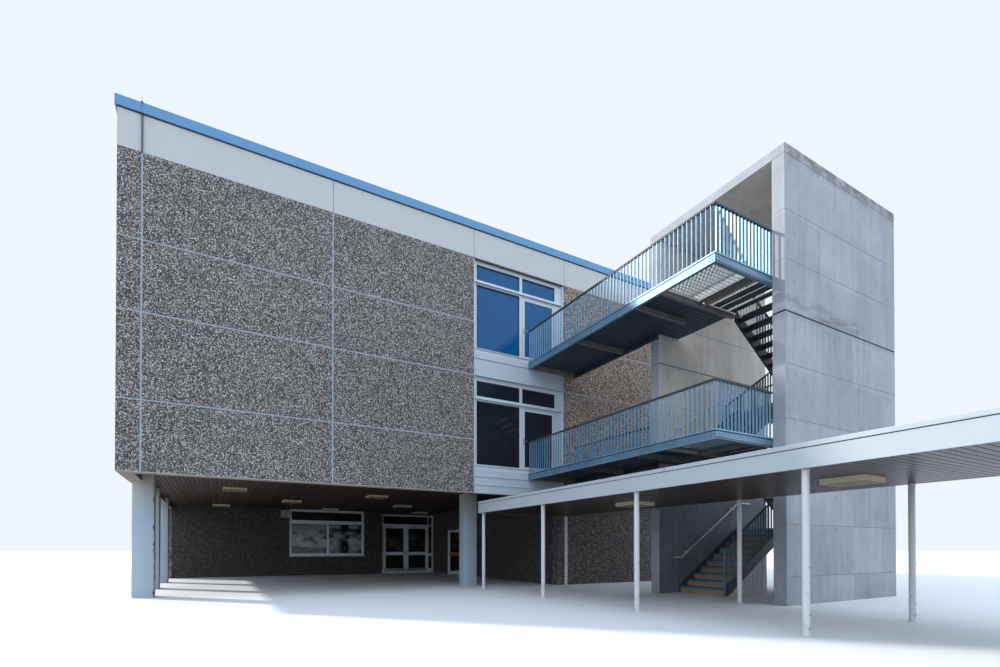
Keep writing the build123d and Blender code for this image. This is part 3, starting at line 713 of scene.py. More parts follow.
def pebbles(settings, name="aggregate", dark=1.0, outer=True):
    """Washed concrete: stones of many greys and browns, made darker by dark where shade is painted; the outer panels
    have a plain cast lip and underside, and a painted warm bounce light right of the strip.
    """
    f = Finish(name)
    x, y, z = f.axes()
    scale = 1 / settings.pebble
    tone = f.grey(f.cells(scale, "Color"))
    hollow = f.cells(scale, "Distance")
    clump = f.noise(scale, 2.0, 0.6)
    broad = f.noise(0.35, 3.0)
    wide = f.noise(5.0, 2.0)
    value = tone * 0.95 + (clump - 0.5) * 1.7 + (wide - 0.5) * 0.2 - hollow * 0.30
    stone = f.ramp(
        value,
        (0.05, shade(settings.stone_dark, dark)),
        (0.30, shade((0.14, 0.128, 0.12), dark)),
        (0.55, shade((0.33, 0.305, 0.28), dark)),
        (0.88, shade(settings.stone_light, dark)))
    hue = f.noise(scale * 1.3, 1.0).between(0.38, 0.62)
    stone = f.tint(stone, f.mix(hue, (0.80, 0.97, 1.20), (1.20, 1.01, 0.82)))
    stained = f.mix((broad - 0.35) * 0.45, stone, (0.66, 0.64, 0.63), "MULTIPLY")
    f.bump((1.0 - hollow) * 0.8 + clump * 0.2, 0.012, 0.8)
    # The hall's walls and the low front wall: a warm-brown tint over stones that dark has painted darker as shade.
    if not outer:
        return f.surface(Base_Color=f.tint(stained, (1.0, 0.93, 0.88)), Roughness=0.85)
    # Panels right of the strip are tinted warmer: painted warm bounce light from the stair tower.
    bounce_lit_panels = x.between(1.6, 1.8) * (y < -4.2)
    warm = f.mix(bounce_lit_panels, stained, f.tint(stained, (1.40, 1.16, 0.98)))
    cast_face = f.mix(f.noise(9.0, 4.0), (0.50, 0.45, 0.38), (0.66, 0.61, 0.53))
    lip = (z > 2.93) * (z < 2.956) * (x < 1.6)
    under = (f.facing()[2] < -0.5).most(lip)
    return f.surface(Base_Color=f.mix(under, warm, cast_face), Roughness=0.85)


def plain_paint(name, base, wear, roughness):
    """Painted metal or concrete with faint clouding."""
    f = Finish(name)
    look = f.mix((f.noise(1.3, 4.0, 0.6) - 0.3) * wear * 4, base, shade(base, 0.82))
    f.bump(f.noise(60.0, 3.0), 0.0015, 0.25)
    return f.surface(Base_Color=look, Roughness=roughness)


def pillar_paint(settings):
    """White paint with a blue cast that is partly painted skylight, warmer under the ceiling, with chips along the
    arrises and a grey foot.
    """
    f = Finish("pillar_paint")
    x, y, z = f.axes()
    warm = z.between(1.9, 3.1)
    base = f.mix(warm, settings.paint, (0.66, 0.63, 0.56))
    cloud = f.noise(1.3, 4.0, 0.6)
    look = f.mix((cloud - 0.3) * 0.4, base, f.tint(base, (0.84, 0.85, 0.86)))
    trowelled = f.noise(1.0, 3.0, 0.6, f.stretched(9.0, 9.0, 1.2))
    splash = (1.0 - z.between(0.0, 0.35)) * f.noise(14.0, 5.0, 0.7).between(0.45, 0.65)
    look = f.mix(splash * 0.4, look, (0.40, 0.40, 0.38))
    arris = ((x + 9.91).absolute() < 0.02) * (f.noise(4.0, 3.0, 0.6) > 0.6)
    look = f.mix(arris, look, (0.07, 0.06, 0.055))
    f.bump(trowelled * 0.6 + f.noise(60.0, 3.0) * 0.4, 0.004, 0.35)
    return f.surface(Base_Color=look, Roughness=0.6)


def sealant(name, base):
    """Joint sealant of slightly uneven tone."""
    f = Finish(name)
    look = f.mix(f.noise(22.0, 3.0), shade(base, 0.86), shade(base, 1.12))
    return f.surface(Base_Color=look, Roughness=0.7)


def fair_concrete(settings):
    """Fair-faced concrete: formwork panels of slightly different tone, clouds, runs below joints and pores, with
    painted light inside the tower: shade on the low back wall, warm bounce light above it and on the soffit.
    """
    f = Finish("tower_concrete")
    x, y, z = f.axes()
    panel = f.random(((x + y) / 1.35).floor() * 7.0 + ((z - 0.62) / 1.13).floor() * 3.1 + 0.5)
    cloud = f.noise(0.9, 5.0, 0.62)
    blotch = f.noise(3.5, 5.0, 0.7)
    streak = f.noise(1.0, 4.0, 0.6, f.stretched(5.0, 5.0, 0.35))
    pores = f.cells(24.0, "Distance").between(0.03, 0.09)
    tone = 0.84 + panel * 0.11 + (cloud - 0.5) * 0.40 + (streak - 0.5) * 0.26 + (blotch - 0.5) * 0.18
    outward, upward = f.facing()[1:]
    # Painted light inside the tower: the inner face of the back wall is painted half as dark as shade low down and pale
    # warm above, and the soffit pale warm, as bounce light; stains show less there.
    inside = (outward < -0.5) * y.between(-8.3, -8.1)
    bounce_lit_faces = inside.most((upward < -0.5) * (z > 9.0))
    base = f.mix(bounce_lit_faces * z.between(2.4, 4.4), f.mix(inside, settings.concrete, shade(settings.concrete, 0.5)),
                 settings.bounce_light_tone)
    look = f.mix(tone.between(0.62, 1.18), f.tint(base, (0.66, 0.66, 0.67)), f.tint(base, (1.2, 1.2, 1.2)))
    runs = f.noise(1.0, 3.0, 0.6, f.stretched(9.0, 9.0, 0.5)).between(0.45, 0.7)
    below = z.between(MAIN_JOINT - 0.9, MAIN_JOINT) * (z < MAIN_JOINT) * runs * 0.28
    front = (y < -11.6) * (outward < -0.5)
    along = 1.0 - (x - 3.7).absolute().between(0.9, 2.4)
    cloud_stain = (1.0 - (z - 6.56).absolute().between(0.06, 0.32)) * along * front * 0.62
    top_stain = z.between(9.6, 10.0) * f.noise(2.4, 4.0, 0.7).between(0.36, 0.58) * front * 0.7
    foot = (1.0 - z.between(0.0, 0.5)) * blotch.between(0.4, 0.65) * 0.3
    smear = f.noise(1.0, 4.0, 0.7, f.stretched(1.6, 1.6, 7.0)).between(0.3, 0.7)
    share = below.most(cloud_stain * smear).most(foot) * (1.0 - bounce_lit_faces * 0.7)
    look = f.mix(share, look, (0.12, 0.115, 0.11))
    look = f.mix(top_stain, look, (0.13, 0.10, 0.08))
    holed = f.mix((1.0 - pores) * 0.35 * (f.noise(3.0) > 0.52), look, (0.14, 0.14, 0.14))
    f.bump(pores * 0.3 + streak * 0.4, 0.004, 0.5)
    return f.surface(Base_Color=holed, Roughness=0.72 + (cloud - 0.5) * 0.2)


def stained_boards(settings, name, along, gloss=0.5):
    """Dark stained boards: each a little different, with grain along its length."""
    f = Finish(name)
    x, y, z = f.axes()
    side, run = (x, (0.6, 8.0)) if along == "y" else (y, (8.0, 0.6))
    board = f.random((side / settings.board).floor())
    grain_place = f.stretched(run[1] * 6, run[0], 1.0) if along == "y" else f.stretched(run[1], run[0] * 80, 1.0)
    grain = f.noise(1.0, 4.0, 0.65, grain_place)
    patches = f.noise(0.8, 3.0)
    tone = 0.40 + board * 0.85 + (grain - 0.5) * 0.7 + (patches - 0.5) * 0.5
    look = f.mix(tone.between(0.2, 1.5), shade(settings.stain, 0.35), shade(settings.stain, 2.3))
    f.bump(grain, 0.002, 0.4)
    return f.surface(Base_Color=look, Roughness=gloss, IOR=1.3)


def galvanised(name, base, metallic=0.35):
    """Hot-dip galvanised steel: dull zinc with soft spangles and runs."""
    f = Finish(name)
    spangle = f.grey(f.cells(45.0, "Color"))
    cloud = f.noise(2.2, 4.0, 0.6)
    tone = 0.8 + (spangle - 0.5) * 0.16 + (cloud - 0.5) * 0.5
    look = f.mix(tone.between(0.45, 1.2), shade(base, 0.62), shade(base, 1.35))
    f.bump(f.noise(40.0, 3.0), 0.001, 0.3)
    return f.surface(Base_Color=look, Metallic=metallic, Roughness=0.42 + (spangle - 0.5) * 0.18)


def window_glass(settings):
    """Glass with a painted reflection of the sky's blue in the upper glass of the strip, and painted darkness of an
    unlit room behind the rest.
    """
    f = Finish("window_glass")
    x, y, z = f.axes()
    cloud = f.noise(0.25, 3.0, 0.5)
    upper = z.between(6.9, 7.6)
    open_side = f.facing()[1].absolute().between(0.3, 0.7)
    rise = z.between(0.5, 9.5)
    # Painted reflection of the sky, with clouds; the side walls' glass shows a dimmer painted sky.
    sky = f.mix(rise * 0.7 + (cloud - 0.5) * 0.4, shade(settings.sky, 1.5), settings.sky)
    share = (upper * 0.9 + 0.1 * rise).least(1.0)
    look = f.mix(share, f.mix(1.0 - open_side, settings.dark, shade(settings.sky, 0.55)), sky)
    return f.surface(Base_Color=look, Roughness=0.04, IOR=1.38)


def hall_glass(settings):
    """Glass of the hall: dark, with the pale yard mirrored in uneven patches at eye height."""
    f = Finish("hall_glass")
    x, y, z = f.axes()
    eye_height = z.between(1.12, 1.25) * (1.0 - z.between(2.0, 2.2))
    patches = f.noise(1.0, 3.0, 0.6, f.stretched(1.5, 1.5, 2.2)).between(0.42, 0.60)
    strength = 0.10 + 0.55 * (x < -2.0)
    yard = f.mix(z.between(1.9, 2.15), (0.62, 0.61, 0.56), (0.16, 0.42, 0.60))
    look = f.mix(eye_height * patches * strength, settings.dark, yard)
    return f.surface(Base_Color=look, Roughness=0.04, IOR=1.38)


def plain(name, base, roughness, metallic=0.0, depth=0.0008):
    """A small part's finish with a little variation in tone."""
    f = Finish(name)
    look = f.mix(f.noise(18.0, 3.0), shade(base, 0.82), shade(base, 1.15))
    f.bump(f.noise(70.0, 2.0), depth, 0.3)
    return f.surface(Base_Color=look, Roughness=roughness, Metallic=metallic)


def gravel(settings):
    """Loose rounded gravel."""
    f = Finish("roof_gravel")
    tone = f.grey(f.cells(28.0, "Color"))
    hollow = f.cells(28.0, "Distance")
    look = f.mix(tone + (f.noise(0.6, 4.0) - 0.5) * 0.5, shade(settings.gravel, 0.5), shade(settings.gravel, 1.6))
    f.bump(1.0 - hollow, 0.012, 0.8)
    return f.surface(Base_Color=look, Roughness=0.9)


# ---- Pieces ---------------------------------------------------------------------------------------


def soffit(name, low, high, along, timber, depth, boards):
    """A boarded soffit with dark gaps."""
    gap = FINISHES.get("board_gap") or plain("board_gap", (0.006, 0.004, 0.003), 0.9)
    piece = boarded(name, low, high, along, timber.board, timber.gap, depth)
    paint(piece, boards, gap)
    paint_where(piece, 1, lambda face: looks_down(face)
                and any(abs(face.center.z - z) < 0.001 for z in (BOARD_FACE, CANOPY_FACE)))
    mount(piece, "brown_boards")


def window_holes(middles, with_ground):
    """Holes of one wall's windows, from the middles of its modules."""
    rows = [(sill, WINDOW_HEIGHT, middles) for sill in SILLS]
    rows.append((GROUND_SILL, GROUND_WINDOW, with_ground))
    return [(m - WINDOW_HALF, m + WINDOW_HALF, sill, sill + height) for sill, height, ms in rows for m in ms]


def clad_walls(name, facing, feet, top, levels):
    """The panels of the five outer wall faces, each from its foot up."""
    right_half = [x - STRIP_X[1] for x in GRID_X if x > STRIP_X[1]]
    left = [DEPTH - m for m in MIDDLES_Y]
    back = [LENGTH - m for m in MIDDLES_X]
    walls = {
        "front_left": (STRIP_X[0], GRID_X[:2], (0, 0, 0), 0, []),
        "front_right": (LENGTH - STRIP_X[1], right_half, (STRIP_X[1], 0, 0), 0, []),
        "left": (DEPTH, [DEPTH - y for y in GRID_Y], (0, DEPTH, 0), -pi / 2, window_holes(left, [])),
        "right": (DEPTH, GRID_Y, (LENGTH, 0, 0), pi / 2, window_holes(MIDDLES_Y, MIDDLES_Y)),
        "back": (LENGTH, [LENGTH - x for x in GRID_X], (LENGTH, DEPTH, 0), pi, window_holes(back, back)),
    }
    for (side, (width, uprights, corner, turn, windows)), low in zip(walls.items(), feet):
        clad(f"{name}_{side}", facing, width, low, top, uprights, [z for z in levels if low < z < top], corner, turn,
             [w for w in windows if low <= w[2] < top])


class SCHOOL_OT_cladding(bpy.types.Operator):
    """Pebble-faced panels with sealed joints on the outer walls, and the same facing, painted darker as shade, on the
    hall's walls and the low front wall
    """
    bl_idname = "school.cladding"
    bl_label = "Cladding"

    def execute(self, context):
        s = context.scene.school_cladding
        stone = pebbles(s)
        # The hall's walls and the low front wall get the same stones painted darker, as painted shade.
        hall_painted_shade = pebbles(s, "hall_aggregate_painted_shade", 0.32, outer=False)
        low_wall = pebbles(s, "low_wall_aggregate_painted_shade", 0.6, outer=False)
        seal = sealant("joint_sealant", s.sealant)
        seam = sealant("joint_level", s.seam_paint)
        facing = Facing(s.joint, s.seam, s.proud, (stone, seal, seam), "aggregate")
        clad_walls("cladding", facing, (CLAD_FOOT, CLAD_FOOT, CLAD_FOOT, 0, 0), CLAD_TOP, (CLAD_FOOT, *LEVELS))
        middles = [DEPTH - m for m in MIDDLES_Y if m - WINDOW_HALF > HALL_BACK + WALL]
        clad("cladding_left_ground", facing, DEPTH - HALL_BACK, 0, CLAD_FOOT,
             [DEPTH - y for y in GRID_Y if y > HALL_BACK], [], (0, DEPTH, 0), -pi / 2, window_holes([], middles))
        finish_nodes(stone, "front_wall_left", "front_wall_right", "left_wall_upper", "left_wall_ground",
                     "right_wall", "back_wall")
        finish_nodes(hall_painted_shade, "hall_wall", "hall_side_wall_near", "hall_side_wall_far", "door_lintels")
        finish_nodes(low_wall, "ground_front_wall")
        return {"FINISHED"}


class SCHOOL_OT_roof(bpy.types.Operator):
    """Fascia panels, coping straps, gravel, upstands and outlets of the flat roof"""
    bl_idname = "school.roof"
    bl_label = "Roof Edge and Roof"

    def execute(self, context):
        s = context.scene.school_roof
        fascia = plain_paint("fascia_paint", s.fascia, wear=0.05, roughness=0.55)
        blue = plain_paint("coping_blue", s.coping, wear=0.05, roughness=0.35)
        seam = plain("fascia_joint", (0.20, 0.23, 0.26), 0.7)
        zinc = plain("roof_flashing", (0.36, 0.39, 0.40), 0.4, 0.4)
        finish_nodes(fascia, "roof_fascia")
        finish_nodes(blue, "roof_coping")
        joint = 0.014
        facing = Facing(joint, joint, 0.006, (fascia, seam), "fascia_paint")
        clad_walls("fascia", facing, (CLAD_TOP,) * 5, FASCIA_TOP, ())
        width = STRIP_X[1] - STRIP_X[0]
        clad("fascia_strip", facing, width, CLAD_TOP, FASCIA_TOP, [joint / 2, width - joint / 2], [],
             (STRIP_X[0], 0, 0), 0)
        strap = bar("coping_straps", (-0.03, -0.053, FASCIA_TOP - 0.004), (0.03, 0.353, COPING_TOP + 0.003), 0.006)
        moves = [(Vector((x, y, 0)), 0) for x in GRID_X for y in (0, DEPTH - WALL)]
        moves += [turned(x, y, 0, pi / 2) for y in GRID_Y for x in (WALL, LENGTH)]
        mount(copied(strap, moves), "coping_blue", blue)
        near, far_x, far_y = WALL + 0.06, LENGTH - WALL - 0.06, DEPTH - WALL - 0.06
        bed = cube("roof_gravel", (near, near, ROOF - 0.05), (far_x, far_y, ROOF))
        edit(bed)
        pick(bed, looks_up)
        bpy.ops.mesh.inset(thickness=0.05, depth=0.02)
        bpy.ops.mesh.inset(thickness=0.6, depth=0)
        bpy.ops.mesh.subdivide(number_cuts=6)
        done()
        mount(bed, "slab_concrete", gravel(s))
        sides = ((WALL, LENGTH - WALL, WALL, near), (WALL, LENGTH - WALL, far_y, DEPTH - WALL),
                 (WALL, near, near, far_y), (far_x, LENGTH - WALL, near, far_y))
        upstands = [bar("upstand", (a, c, ROOF - 0.04), (b, d, ROOF + 0.12), 0.008) for a, b, c, d in sides]
        mount(joined("roof_upstands", upstands), "fascia_paint", zinc)
        outlets = []
        for x in (4.6, 16.3):
            for y in (5.4, 16.2):
                dome = rod("outlet", (x, y, ROOF), (x, y, ROOF + 0.1), 0.16, 20)
                outlets.append(inset(dome, looks_up, (0.05, 0.035), (0.05, 0.012)))
        mount(smooth(joined("roof_outlets", outlets)), "fascia_paint", zinc)
        curb = bar("roof_hatch", (9.6, 9.9, ROOF - 0.02), (11.2, 11.5, ROOF + 0.2), 0.01)
        edit(curb)
        pick(curb, looks_up)
        bpy.ops.mesh.inset(thickness=0.06, depth=0)
        extrude(0, 0, 0.06)
        bpy.ops.mesh.inset(thickness=0.3, depth=0.05)
        done()
        mount(smooth(curb), "fascia_paint", zinc)
        self.edge_line()
        self.conductor(context)
        return {"FINISHED"}

    def edge_line(self):
        """A painted shadow line between the fascia and the coping, all round."""
        out = 0.012
        line = band("coping_shadow", (-out, -out, FASCIA_TOP - 0.022), (LENGTH + out, DEPTH + out, FASCIA_TOP - 0.001))
        mount(line, "fascia_paint", plain("edge_shadow", (0.045, 0.035, 0.025), 0.8))

    def conductor(self, context):
        """The conductor's dark cover on the fascia, with one clip at the coping's foot and one at its top."""
        x0 = GRID_X[0]
        f = Finish("conductor")
        height = f.axes()[2]
        dark = f.mix(f.noise(9.0, 3.0), (0.09, 0.12, 0.15), (0.13, 0.17, 0.21))
        blue = f.mix(height.between(11.0, 11.03), dark, context.scene.school_roof.coping)
        f.surface(Base_Color=f.mix(height.between(11.26, 11.28), blue, (0.46, 0.52, 0.58)), Roughness=0.5)
        finish_nodes(f.material, "lightning_rod")
        parts = [bar("cover", (x0 - 0.019, -0.03, CLAD_TOP), (x0 + 0.019, -0.006, FASCIA_TOP - 0.02), 0.003),
                 bar("clip", (x0 - 0.022, -0.072, 11.225), (x0 + 0.022, -0.05, 11.25), 0.003),
                 bar("clip", (x0 - 0.03, -0.072, 10.97), (x0 + 0.03, -0.03, 11.0), 0.003)]
        cover = joined("conductor_cover", parts)
        paint(cover, f.material, plain("clip", (0.03, 0.035, 0.04), 0.5))
        paint_where(cover, 1, lambda face: face.center.z > 10.965 and face.center.y < HOME.y - 0.031)
        mount(cover, "galvanised")


class SCHOOL_OT_windows(bpy.types.Operator):
    """White frames, glass and sheet-metal sills of the side and back windows"""
    bl_idname = "school.windows"
    bl_label = "Windows"

    def execute(self, context):
        s = context.scene.school_glass
        frame_paint = plain_paint("white_frame", s.frame, wear=0.05, roughness=0.35)
        # The hall's white frames are painted paler than the others, as painted light.
        bright = plain_paint("hall_frame_painted_light", s.bright, wear=0.04, roughness=0.35)
        glass = window_glass(s)
        finish_nodes(frame_paint, "window_frames", "strip_frames", "walkway_doors")
        finish_nodes(bright, "hall_window_frame", "hall_door_frame", "hall_door_leaf_left",
                     "hall_door_leaf_right", "side_door_frame", "side_door_leaf")
        finish_nodes(glass, "window_panes", "strip_glass")
        finish_nodes(hall_glass(s), "hall_window_glass", "hall_door_lights", "hall_door_glass_left",
                     "hall_door_glass_right", "side_door_glass")
        half = WINDOW_HALF + 0.01
        sill = cube("window_sills", (-half, -0.035, -0.004), (half, 0.095, 0.02))
        edit(sill)
        pick(sill, looks_out)
        bpy.ops.transform.translate(value=(0, 0, -0.012))
        extrude(0, -0.006, 0)
        pick(sill, lambda face: looks_down(face) and face.calc_center_median().y < HOME.y - 0.036)
        extrude(0, 0, -0.025)
        done()
        bevel(sill, 0.002, 1)
        moves = []
        for turn, middles in ((-pi / 2, [(0, m) for m in MIDDLES_Y]), (pi / 2, [(LENGTH, m) for m in MIDDLES_Y]),
                              (pi, [(m, DEPTH) for m in MIDDLES_X])):
            moves += [turned(x, y, z, turn) for x, y in middles for z in SILLS]
            moves += [turned(x, y, GROUND_SILL, turn) for x, y in middles if x or y - WINDOW_HALF > HALL_BACK + WALL]
        mount(copied(sill, moves), "white_frame", frame_paint)
        return {"FINISHED"}


class SCHOOL_OT_strip(bpy.types.Operator):
    """Seams, jambs, rain ledges, glazing seals with a painted shadow at each pane's head, and door furniture of the
    glazed strip
    """
    bl_idname = "school.strip"
    bl_label = "Glazed Strip"

    def execute(self, context):
        sheet_paint = plain_paint("white_sheet", (0.55, 0.62, 0.68), wear=0.08, roughness=0.4)
        frame_paint = FINISHES["white_frame"]
        finish_nodes(sheet_paint, "strip_spandrels")
        x0, x1 = STRIP_X
        laps = []
        for z in (6.555, 7.09, 3.2, 3.46):
            lap = cube("lap", (x0 + 0.004, 0.012, z), (x1 - 0.004, 0.032, z + 0.012))
            laps.append(weathered(lap, (0, -0.006, -0.008), 0.0015, drop=0))
        for low, high in ((CLAD_FOOT, FLOORS[0]), (LEVELS[1], FLOORS[1])):
            laps.append(bar("upright_lap", (MULLION - 0.02, 0.022, low + 0.01), (MULLION + 0.02, 0.032, high - 0.01),
                            0.002))
        mount(joined("strip_laps", laps), "white_frame", sheet_paint)
        posts = []
        for low, high in ((FLOORS[0], LEVELS[1]), (FLOORS[1], CLAD_TOP)):
            for a, b in ((x0, x0 + 0.06), (x1 - 0.06, x1)):
                posts.append(bar("jamb", (a + 0.002, 0.03, low), (b - 0.002, 0.115, high), 0.004))
            posts.append(bar("drip", (x0 + 0.06, 0.07, low + 0.14), (x1 - 0.06, 0.112, low + 0.165), 0.004))
        mount(joined("strip_jambs", posts), "white_frame", frame_paint)
        self.ledges(frame_paint)
        self.beads()
        self.furniture()
        return {"FINISHED"}

    def ledges(self, finish):
        """Sloping rain ledges on the transoms, and a dark lining under the lintel, painted as its shadow."""
        x0, x1 = STRIP_X
        made = []
        for floor in FLOORS:
            ledge = cube("ledge", (x0 + 0.06, 0.052, floor + 2.205), (x1 - 0.06, 0.1125, floor + 2.228))
            made.append(weathered(ledge, (0, -0.005, -0.01), 0.0015))
        mount(joined("transom_ledges", made), "white_frame", finish)
        # The lintel lining's dark brown is painted shadow under the fascia.
        lining = bar("lintel_lining", (x0 + 0.002, 0.004, CLAD_TOP - 0.016),
                     (x1 - 0.002, 0.112, CLAD_TOP - 0.002), 0.003)
        mount(lining, "fascia_paint", plain("lintel_painted_shadow", (0.20, 0.165, 0.135), 0.8))

    def beads(self):
        """Black glazing seals beside each pane, and a deep black strip at each pane's head that is painted shadow under
        the frame.
        """
        beads = []
        for floor in FLOORS:
            low, transom, top, head = floor + 0.18, floor + 2.14, floor + 2.29, floor + 2.76
            left, middle, right = STRIP_X[0] + 0.15, MULLION - 0.05, MULLION + 0.05
            for a, b, c, d in ((left, middle, low, transom), (left, middle, top, head), (right, 11.845, top, head)):
                # The deep head strip is painted shadow under the frame's head.
                beads.append(bar("bead", (a, 0.114, d - 0.045), (b, 0.14, d), 0.003))
                beads.append(bar("bead", (a, 0.122, c), (a + 0.014, 0.14, d - 0.045), 0.003))
                beads.append(bar("bead", (b - 0.014, 0.122, c), (b, 0.14, d - 0.045), 0.003))
        mount(joined("glazing_beads_and_head_shadow", beads), "white_frame", plain("glazing_seal_and_head_shadow", (0.02, 0.022, 0.024), 0.6))

    def furniture(self):
        """Lever handles and hinges of the doors to the walkways."""
        handles = []
        x = MULLION + 0.102
        for floor in FLOORS:
            z = floor + 1.05
            handles += [
                bar("plate", (x - 0.02, 0.098, z - 0.1), (x + 0.02, 0.111, z + 0.1), 0.003),
                rod("neck", (x, 0.11, z), (x, 0.055, z), 0.011, 12),
                rod("lever", (x - 0.008, 0.06, z), (x + 0.125, 0.06, z), 0.01, 12)]
            for z in (floor + 0.35, floor + 1.1, floor + 1.85):
                handles.append(rod("hinge", (11.838, 0.1, z), (11.838, 0.1, z + 0.09), 0.01, 12))
        handles = joined("walkway_door_furniture", handles)
        mount(handles, "white_frame", plain("door_furniture", (0.45, 0.46, 0.47), 0.3, 0.9))


class SCHOOL_OT_hall(bpy.types.Operator):
    """Board ceiling, lights, loudspeaker, window sill and pillars of the open hall"""
    bl_idname = "school.hall"
    bl_label = "Open Hall"

    def execute(self, context):
        timber = context.scene.school_timber
        boards = stained_boards(timber, "hall_boards", "y")
        finish_nodes(boards, "hall_ceiling")
        soffit("hall_boards", (WALL, WALL, BOARD_FACE), (12.1, HALL_BACK, BOARD_FACE + 0.02), "y", timber, 0.012,
               boards)
        slab = plain_paint("floor_concrete", (0.36, 0.36, 0.35), wear=0.2, roughness=0.75)
        finish_nodes(slab, "first_floor", "second_floor", "roof_slab", "ground_floor")
        self.pillars(context.scene.school_concrete)
        # Three rows, each a little further to the left than the one before
        places = ((0, 0), (1, 0), (0.5, 1), (1.5, 1), (0, 2), (1, 2), (2, 2))
        self.lamps("hall_lights", [(2.43 + c * 4.45 - r * 0.16, 3.94 + r * 3.4) for c, r in places], CEILING)
        self.lamps("canopy_lights", [(10.69, -4.8025), (10.69, -9.5475)], CANOPY_CEILING)
        self.speaker()
        self.sill()
        return {"FINISHED"}

    def pillars(self, settings):
        """Painted pillars with eased arrises and worn foot corners."""
        made = []
        for low, high in (((0.095, 1.72), (0.555, 2.18)), ((0.095, 4.963), (0.395, 5.423)),
                          ((0.095, 8.207), (0.395, 8.667)), ((9.27, 1.72), (9.73, 2.18))):
            pillar = cube("pillar", (*low, 0), (*high, CEILING))
            bevel(pillar, 0.012, 2, upright)
            edit(pillar)
            cut(2, 0.05)
            pick(pillar, looks_down)
            centre = at((low[0] + high[0]) / 2, (low[1] + high[1]) / 2, 0)
            bpy.ops.transform.resize(value=(0.95, 0.97, 1), center_override=centre)
            done()
            made.append(smooth(pillar, 50))
        mount(joined("hall_pillars_cast", made), "pillar_paint", pillar_paint(settings), replaces=("hall_pillars",))

    def lamps(self, name, places, top):
        """Square box lamps under a soffit: a dark seat, a cream body and an opal underside painted darker as shade."""
        body = cube("body", (-0.325, -0.325, -0.095), (0.325, 0.325, -0.012))
        inset(body, looks_down, (0.014, 0), (0.004, -0.006))
        bevel(body, 0.006, 2, upright)
        lamp = joined(name, [body, bar("seat", (-0.31, -0.31, -0.012), (0.31, 0.31, 0.0), 0.002)])
        lamp = copied(lamp, [(Vector((x, y, top)), 0) for x, y in places])
        paint(lamp, plain("lamp_box", (0.86, 0.77, 0.58), 0.5), plain("lamp_opal_painted_shade", (0.27, 0.19, 0.04), 0.4),
              plain("lamp_seat", (0.04, 0.04, 0.04), 0.6))
        # The opal underside is painted darker as shade.
        paint_where(lamp, 1, lambda face: looks_down(face) and face.center.z < top - 0.08 and face.area > 0.05)
        paint_where(lamp, 2, lambda face: face.center.z > top - 0.0119)
        mount(lamp, "lamp_box", replaces=("box_lights",))

    def speaker(self):
        """A wall box with a slotted front."""
        low, high = grid_box("hall_speaker")
        box = cube("hall_speaker_box", low, high)
        edit(box)
        slots = 9
        cut(2, *(low.z + (high.z - low.z) * i / slots for i in range(1, slots)))
        pick(box, lambda face: looks_out(face) and low.z + 0.03 < face.calc_center_median().z < high.z - 0.03)
        bpy.ops.mesh.inset(thickness=0.008, depth=-0.006, use_individual=True)
        done()
        mount(box, "speaker_grey", plain("speaker_grey", (0.42, 0.41, 0.38), 0.6), replaces=("hall_speaker",))

    def sill(self):
        """The window's metal sill."""
        low, high = grid_box("hall_window_frame")
        sill = cube("hall_window_sill", (low.x - 0.02, HALL_BACK - 0.05, low.z - 0.025), (high.x + 0.02, low.y, low.z))
        weathered(sill, (0, -0.004, -0.01), 0.002)
        mount(sill, "white_frame", FINISHES["white_frame"])


class SCHOOL_OT_doors(bpy.types.Operator):
    """Handles, closers, kick plates and seals of the hall's doors, and the side door's push bar"""
    bl_idname = "school.doors"
    bl_label = "Ground-floor Doors"

    def execute(self, context):
        steel = plain("handle_steel", (0.48, 0.49, 0.50), 0.28, 0.9)
        dark = plain("door_seal", (0.02, 0.02, 0.022), 0.6)
        for side, inner in (("left", 1), ("right", -1)):
            low, high = grid_box("hall_door_leaf_" + side)
            meet = high.x if side == "left" else low.x
            x = meet - inner * 0.062
            z = 1.08
            parts = [
                bar("plate", (x - 0.02, low.y - 0.008, z - 0.13), (x + 0.02, low.y, z + 0.09), 0.002),
                rod("neck", (x, low.y, z), (x, low.y - 0.055, z), 0.01, 12),
                rod("lever", (x + inner * 0.008, low.y - 0.052, z), (x - inner * 0.13, low.y - 0.052, z), 0.01, 12),
                bar("kick", (low.x + 0.03, low.y - 0.002, low.z + 0.02), (high.x - 0.03, low.y, low.z + 0.18), 0.001),
                bar("closer", (low.x + 0.25, low.y - 0.045, high.z - 0.1),
                    (low.x + 0.52, low.y, high.z - 0.045), 0.006)]
            mount(joined("hall_leaf_furniture_" + side, parts), "white_frame", steel, body="hall_leaf_" + side)
            beads = []
            for c, d in ((low.z + 0.165, low.z + 0.865), (low.z + 1.03, high.z - 0.125)):
                a, b = low.x + 0.125, high.x - 0.125
                y = low.y + 0.002
                beads += [bar("bead", (a, y, d - 0.012), (b, y + 0.012, d), 0.002),
                          bar("bead", (a, y, c), (b, y + 0.012, c + 0.012), 0.002),
                          bar("bead", (a, y, c + 0.012), (a + 0.012, y + 0.012, d - 0.012), 0.002),
                          bar("bead", (b - 0.012, y, c + 0.012), (b, y + 0.012, d - 0.012), 0.002)]
            mount(joined("hall_leaf_seals_" + side, beads), "white_frame", dark, body="hall_leaf_" + side)
        self.side_leaf(context)
        return {"FINISHED"}

    def side_leaf(self, context):
        """The side leaf's varnished push bar."""
        settings = context.scene.school_timber
        f = Finish("orange_wood")
        grain = f.noise(1.0, 5.0, 0.6, f.stretched(1.5, 30.0, 30.0))
        f.surface(Base_Color=f.mix(grain, shade(settings.push_bar, 0.6), shade(settings.push_bar, 1.3)),
                  Roughness=0.3, Coat_Weight=0.4)
        low, high = grid_box("side_door_push_bar")
        push = smooth(bevel(cube("side_push_bar", low, high), 0.008, 3))
        mount(push, "orange_wood", f.material, body="side_leaf", replaces=("side_door_push_bar",))


